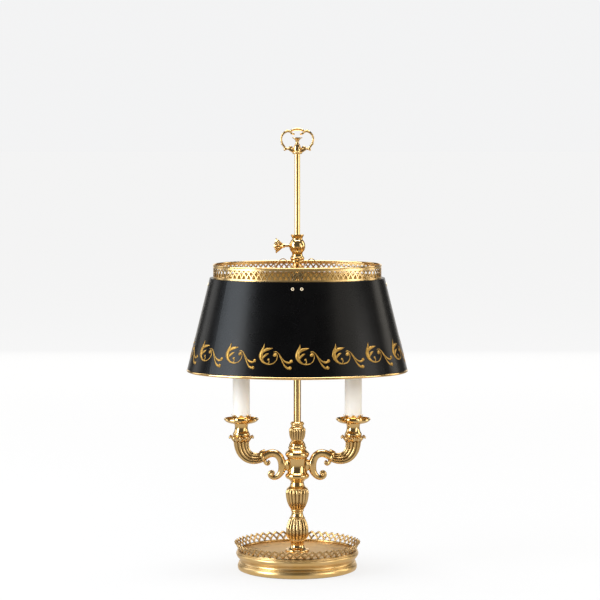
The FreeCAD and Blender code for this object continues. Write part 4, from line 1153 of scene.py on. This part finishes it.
@dataclass
class ColumnLook:
    """Gadrooned vases of the column and the spun skirt of the base."""

    finish: dict[Slot, bpy.types.Material]
    ribs: int = 18
    baluster: Run = (
        (13.4, 46.4, 0.0), (14.6, 47.0, 0.7), (15.8, 48.6, 1.0), (16.9, 51.6, 1.0), (17.3, 55.5, 1.0),
        (17.15, 60.0, 1.0), (16.5, 64.5, 1.0), (15.5, 68.5, 1.0), (14.1, 72.3, 1.0), (12.7, 75.4, 0.9),
        (12.0, 76.9, 0.5), (11.7, 77.6, 0.0), (11.9, 78.2, 0.0), (11.7, 78.9, 0.0), (10.5, 79.8, 0.0),
        (9.5, 81.8, 0.0), (8.8, 84.6, 0.0), (8.7, 88.0, 0.0))
    vase: Run = (
        (8.7, 88.0, 0.0), (9.6, 88.8, 0.0), (9.9, 89.8, 0.0), (9.5, 90.8, 0.0), (10.0, 91.6, 0.5), (11.4, 93.7, 1.0),
        (13.9, 98.3, 1.0), (15.7, 103.0, 1.0), (16.9, 108.0, 1.0), (17.6, 113.0, 1.0), (17.7, 116.6, 1.0),
        (17.2, 119.4, 0.9), (16.4, 121.2, 0.55), (15.8, 122.0, 0.0), (15.9, 122.8, 0.0), (15.4, 123.6, 0.0),
        (13.9, 124.8, 0.0), (12.0, 126.4, 0.0), (10.7, 128.8, 0.0), (9.9, 133.3, 0.0))
    bud: Run = (
        (8.7, 196.7, 0.0), (9.7, 197.4, 0.5), (10.8, 199.6, 1.0), (11.7, 202.4, 1.0), (12.3, 206.0, 1.0),
        (12.7, 210.0, 1.0), (12.6, 212.6, 0.9), (12.0, 214.4, 0.5), (11.2, 215.5, 0.0), (10.2, 216.6, 0.0),
        (9.2, 218.4, 0.0), (9.5, 219.8, 0.0), (10.4, 221.2, 0.0), (10.4, 222.6, 0.0), (9.6, 223.8, 0.0),
        (8.6, 224.9, 0.0))
    skirt: Run = (
        (84.4, 0.8), (88.2, 0.8), (89.4, 1.0), (90.0, 2.4), (90.4, 4.4), (90.4, 6.4), (89.8, 8.4), (88.9, 9.7),
        (88.2, 10.2), (88.2, 10.7), (88.8, 11.0), (88.8, 11.5), (87.7, 12.0), (86.6, 13.0), (86.1, 14.2), (86.1, 15.6),
        (86.9, 16.9), (88.0, 17.6), (88.0, 18.0), (89.2, 18.2), (89.3, 18.8), (90.2, 19.4), (91.4, 21.1), (92.4, 23.0),
        (92.8, 24.6), (92.6, 25.8), (91.3, 26.8), (90.8, 27.2), (91.4, 27.6), (91.7, 28.4), (91.2, 29.2), (90.4, 29.4),
        (88.7, 29.4), (88.7, 24.9), (84.4, 24.9))
    groove_turn: float = 1.3

    def build(self) -> None:
        """Make the three vases and the skirt."""
        self.gadrooned("ribbed_baluster", self.baluster, 0.17, "lower_baluster")
        self.gadrooned("ribbed_vase", self.vase, 0.16, "upper_vase")
        self.gadrooned("ribbed_bud", self.bud, 0.16, "top_vase")
        self.spun_skirt()

    def gadrooned(self, name: str, profile: Run, depth: float, node: str) -> None:
        """Turned body whose belly is worked into rounded ribs.

        Args:
            name: The piece's name.
            profile: Radius, height and share of the rib depth, upwards.
            depth: Depth of the grooves as a share of the radius.
            node: CAD node that it stands for.
        """
        mould = Mould()
        verts = bmesh.ops.create_circle(mould.mesh, cap_ends=True, segments=self.ribs * 10, radius=1.0)["verts"]
        edges = list({edge for vert in verts for edge in vert.link_edges})
        rings = []
        for index, (radius, z, share) in enumerate(spline(profile, 3)):
            if index:
                verts, edges = mould.grow(edges)
            rings.append((verts, radius, z, max(0.0, min(1.0, share))))
        bmesh.ops.contextual_create(mould.mesh, geom=edges)
        for verts, radius, z, share in rings:
            for vert in verts:
                turn = math.atan2(vert.co.y, vert.co.x)
                groove = (1.0 - abs(math.sin(turn * self.ribs / 2))) ** self.groove_turn
                reach = radius * (1.0 - depth * share * groove) * MM
                vert.co = Vector((math.cos(turn) * reach, math.sin(turn) * reach, z * MM))
        mould.piece(name, Body.STAND, Slot.FLUTED, self.finish[Slot.FLUTED], node)

    def spun_skirt(self) -> None:
        """Spun skirt of the base: foot roll, fine beads, cove and rim."""
        mould = Mould()
        verts, _ = mould.wire([Vector((0, -radius, z)) for radius, z in self.skirt])
        bmesh.ops.bevel(mould.mesh, geom=verts[1:8], affect="VERTICES", offset=0.3 * MM, segments=2, profile=0.5,
                        material=-1)
        mould.revolve(list(mould.mesh.verts) + list(mould.mesh.edges), 192)
        mould.piece("spun_skirt", Body.STAND, Slot.BASE, self.finish[Slot.BASE], "base_shell")


@dataclass
class ScrewLook:
    """Fluted sheath and beads of the thumbscrew's flower-shaped head."""

    finish: dict[Slot, bpy.types.Material]
    centre_z: float = 491.4
    petals: int = 8
    rim: tuple[float, ...] = (-31.3, 9.9, 1.45)
    inner: tuple[float, ...] = (-33.2, 5.4, 1.25)
    sheath: Run = ((-31.2, 10.4), (-29.4, 9.9), (-27.4, 8.5), (-25.4, 6.7), (-23.4, 4.9), (-21.4, 3.5), (-19.4, 2.6))

    def build(self) -> None:
        """Make the rosette's beads and sheath."""
        mould = Mould()
        for index in range(self.petals):
            turn = math.tau * (index + 0.5) / self.petals
            for (x, reach, radius), rough in ((self.rim, 10), (self.inner, 8)):
                spot = Vector((x, reach * math.sin(turn), self.centre_z + reach * math.cos(turn)))
                mould.bead(spot * MM, radius * MM, rough=rough)
        mould.sweep([Vector((x, 0, self.centre_z)) * MM for x, _ in self.sheath],
                    [(r * MM, r * MM) for _, r in self.sheath], sides=64, ribs=8, rib_depth=0.2)
        mould.piece("rosette_beads", Body.SCREW_HEAD, Slot.BRASS, self.finish[Slot.BRASS])


@dataclass(frozen=True)
class Softbox:
    """One soft light: its place, the height on the axis that it faces, its size, watts and tint."""

    name: str
    at: Triple
    aim_z: float
    width: float
    height: float
    power: float
    tint: Triple
    unseen_by: str = ""

    def hang(self) -> None:
        """Put the light in the scene."""
        light = bpy.data.lights.new(self.name, "AREA")
        light.shape = "RECTANGLE"
        light.size, light.size_y = self.width, self.height
        light.energy = self.power
        light.color = self.tint
        made = linked(self.name, light)
        made.location = self.at
        made.rotation_euler = (UP * self.aim_z - Vector(self.at)).to_track_quat("-Z", "Y").to_euler()
        if self.unseen_by:
            setattr(made, self.unseen_by, False)


@dataclass
class Studio:
    """Pale floor, soft lights and the camera of the photograph."""

    camera_at: Triple = (0.0041, -3.830, 0.7128)
    camera_down: float = 4.53
    lens: float = 153.0
    sensor: float = 36.0
    far: float = 100.0
    floor_size: float = 60.0
    floor_near: Triple = (0.66, 0.62, 0.56)
    floor_far: Triple = (0.22, 0.21, 0.19)
    floor_away: tuple[float, float] = (0.35, 2.6)
    paper: tuple[Triple, Triple] = ((0.105, 0.105, 0.105), (0.110, 0.110, 0.110))
    paper_glow: tuple[Triple, Triple] = ((0.886, 0.887, 0.889), (1.0, 1.0, 1.0))
    paper_power: float = 0.888
    room: tuple[Triple, float] = ((1.0, 0.97, 0.92), 0.11)
    seen: tuple[Triple, float] = ((0.897, 0.899, 0.903), 1.0)
    lights: tuple[Softbox, ...] = (
        Softbox("key", (-2.35, -1.00, 1.25), 0.36, 1.25, 2.2, 56.0, (0.84, 0.92, 1.0)),
        Softbox("left_wing", (-1.9, 0.9, 1.2), 0.40, 0.9, 2.0, 9.0, (1.0, 0.99, 0.97)),
        Softbox("warm_card", (2.1, -1.75, 1.10), 0.35, 1.3, 1.9, 11.0, (1.0, 0.95, 0.85)),
        Softbox("fill", (2.35, 0.65, 1.20), 0.40, 0.9, 2.0, 15.0, (1.0, 0.94, 0.84)),
        Softbox("top", (0.0, 0.15, 2.5), 0.2, 2.2, 1.6, 80.0, (1.0, 1.0, 1.0)),
        Softbox("low_left", (-1.05, -0.78, 0.34), 0.20, 0.22, 0.62, 3.0, (1.0, 0.99, 0.97)),
        Softbox("low_right", (1.10, -0.50, 0.34), 0.20, 0.30, 0.62, 2.2, (1.0, 0.97, 0.92)),
        Softbox("back_card", (0.0, 3.2, 0.75), 0.10, 3.6, 1.35, 15.0, (1.0, 0.97, 0.92), "visible_camera"),
        Softbox("wash", (0.3, -3.4, 1.6), 0.30, 1.6, 1.2, 55.0, (1.0, 0.99, 0.98), "visible_glossy"),
    )

    def build(self) -> None:
        """Make the stage."""
        self.floor()
        self.world()
        for light in self.lights:
            light.hang()
        self.camera()

    def floor(self) -> None:
        """Pale seamless floor, dimmer in what the brass mirrors."""
        mesh = bmesh.new()
        bmesh.ops.create_grid(mesh, x_segments=1, y_segments=1, size=self.floor_size / 2)
        data = bpy.data.meshes.new("studio_floor")
        mesh.to_mesh(data)
        mesh.free()
        graph = Graph("studio_paper")
        tooth = graph.noise(graph.place(), 4.0, 2.0)
        away = graph.from_axis().clamped(*self.floor_away)
        paper = graph.shell({"Base Color": graph.mix(tooth, *self.paper), "Roughness": 0.9, "Specular IOR Level": 0.1,
                             "Emission Strength": self.paper_power,
                             "Emission Color": graph.mix(away, *self.paper_glow)})
        shown = Port(graph, graph.out.inputs["Surface"].links[0].from_socket)
        dim = graph.node("ShaderNodeEmission", {}, {"Color": graph.mix(away, self.floor_near, self.floor_far),
                                                    "Strength": 1.0})
        ray = graph.node("ShaderNodeLightPath", {}, {}, "Is Camera Ray")
        both = graph.node("ShaderNodeMixShader", {}, {0: ray, 1: dim, 2: shown})
        graph.tree.links.new(both.socket, graph.out.inputs["Surface"])
        data.materials.append(paper)
        linked("studio_floor", data)

    def world(self) -> None:
        """Pale surroundings to look at, and a dimmer room for the brass to mirror."""
        world = bpy.data.worlds.new("studio_room")
        world.use_nodes = True
        nodes, link = world.node_tree.nodes, world.node_tree.links.new
        nodes.clear()
        both = nodes.new("ShaderNodeMixShader")
        link(nodes.new("ShaderNodeLightPath").outputs["Is Camera Ray"], both.inputs[0])
        for place, (colour, power) in enumerate((self.room, self.seen), start=1):
            shade = nodes.new("ShaderNodeBackground")
            shade.inputs["Color"].default_value = (*colour, 1.0)
            shade.inputs["Strength"].default_value = power
            link(shade.outputs[0], both.inputs[place])
        link(both.outputs[0], nodes.new("ShaderNodeOutputWorld").inputs["Surface"])
        bpy.context.scene.world = world
        bpy.context.scene.view_settings.view_transform = "Standard"

    def camera(self) -> None:
        """Set the camera where the photograph was taken from."""
        lens = bpy.data.cameras.new("studio_camera")
        lens.lens = self.lens
        lens.sensor_width = self.sensor
        lens.clip_end = self.far
        made = linked("studio_camera", lens)
        made.location = self.camera_at
        made.rotation_euler = (math.radians(90.0 - self.camera_down), 0.0, 0.0)
        bpy.context.scene.camera = made


def dress_frame(finish: dict[Slot, bpy.types.Material]) -> None:
    """Give every CAD node the finish of its slot.

    Args:
        finish: The material of each slot.
    """
    for part in frame["record"]["subparts"]:
        node = frame["nodes"][part["node"]]
        node.data.materials.clear()
        node.data.materials.append(finish[Slot(part["material_slot"])])


def main() -> None:
    """Dress the lamp and light it."""
    logging.basicConfig(level=logging.INFO, format="%(name)s: %(message)s")
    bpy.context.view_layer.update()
    finish = finishes()
    dress_frame(finish)
    # Eyelet brass: the pale, barely metallic colour is a painted highlight, and the near-black recess colour paints
    # shade into the bores.
    painted_highlight_brass = BrassFinish("brass_painted_highlight", Lay.CAST, (0.95, 0.83, 0.62), (0.92, 0.78, 0.55), (0.02, 0.014, 0.01),
                         roughness=0.35, recess=1.0, recess_reach=0.002, metal=0.25).material()
    shadow = BrassFinish("brass_shadowed", Lay.CAST, (0.16, 0.09, 0.03), (0.10, 0.055, 0.02), roughness=0.4).material()
    ShadeLook(finish, GiltFinish().material(), painted_highlight_brass, shadow).build()
    antique = BrassFinish("brass_antique", Lay.CAST, (0.66, 0.45, 0.21), (0.50, 0.31, 0.12), roughness=0.20,
                          recess=1.0, open_from=0.5, open_to=0.97).material()
    TrayLook(antique).build()
    FinialLook(finish).build()
    ArmLook(finish).build()
    CandleLook(finish).build()
    ColumnLook(finish).build()
    ScrewLook(finish).build()
    Studio().build()


if __name__ == "__main__":
    main()
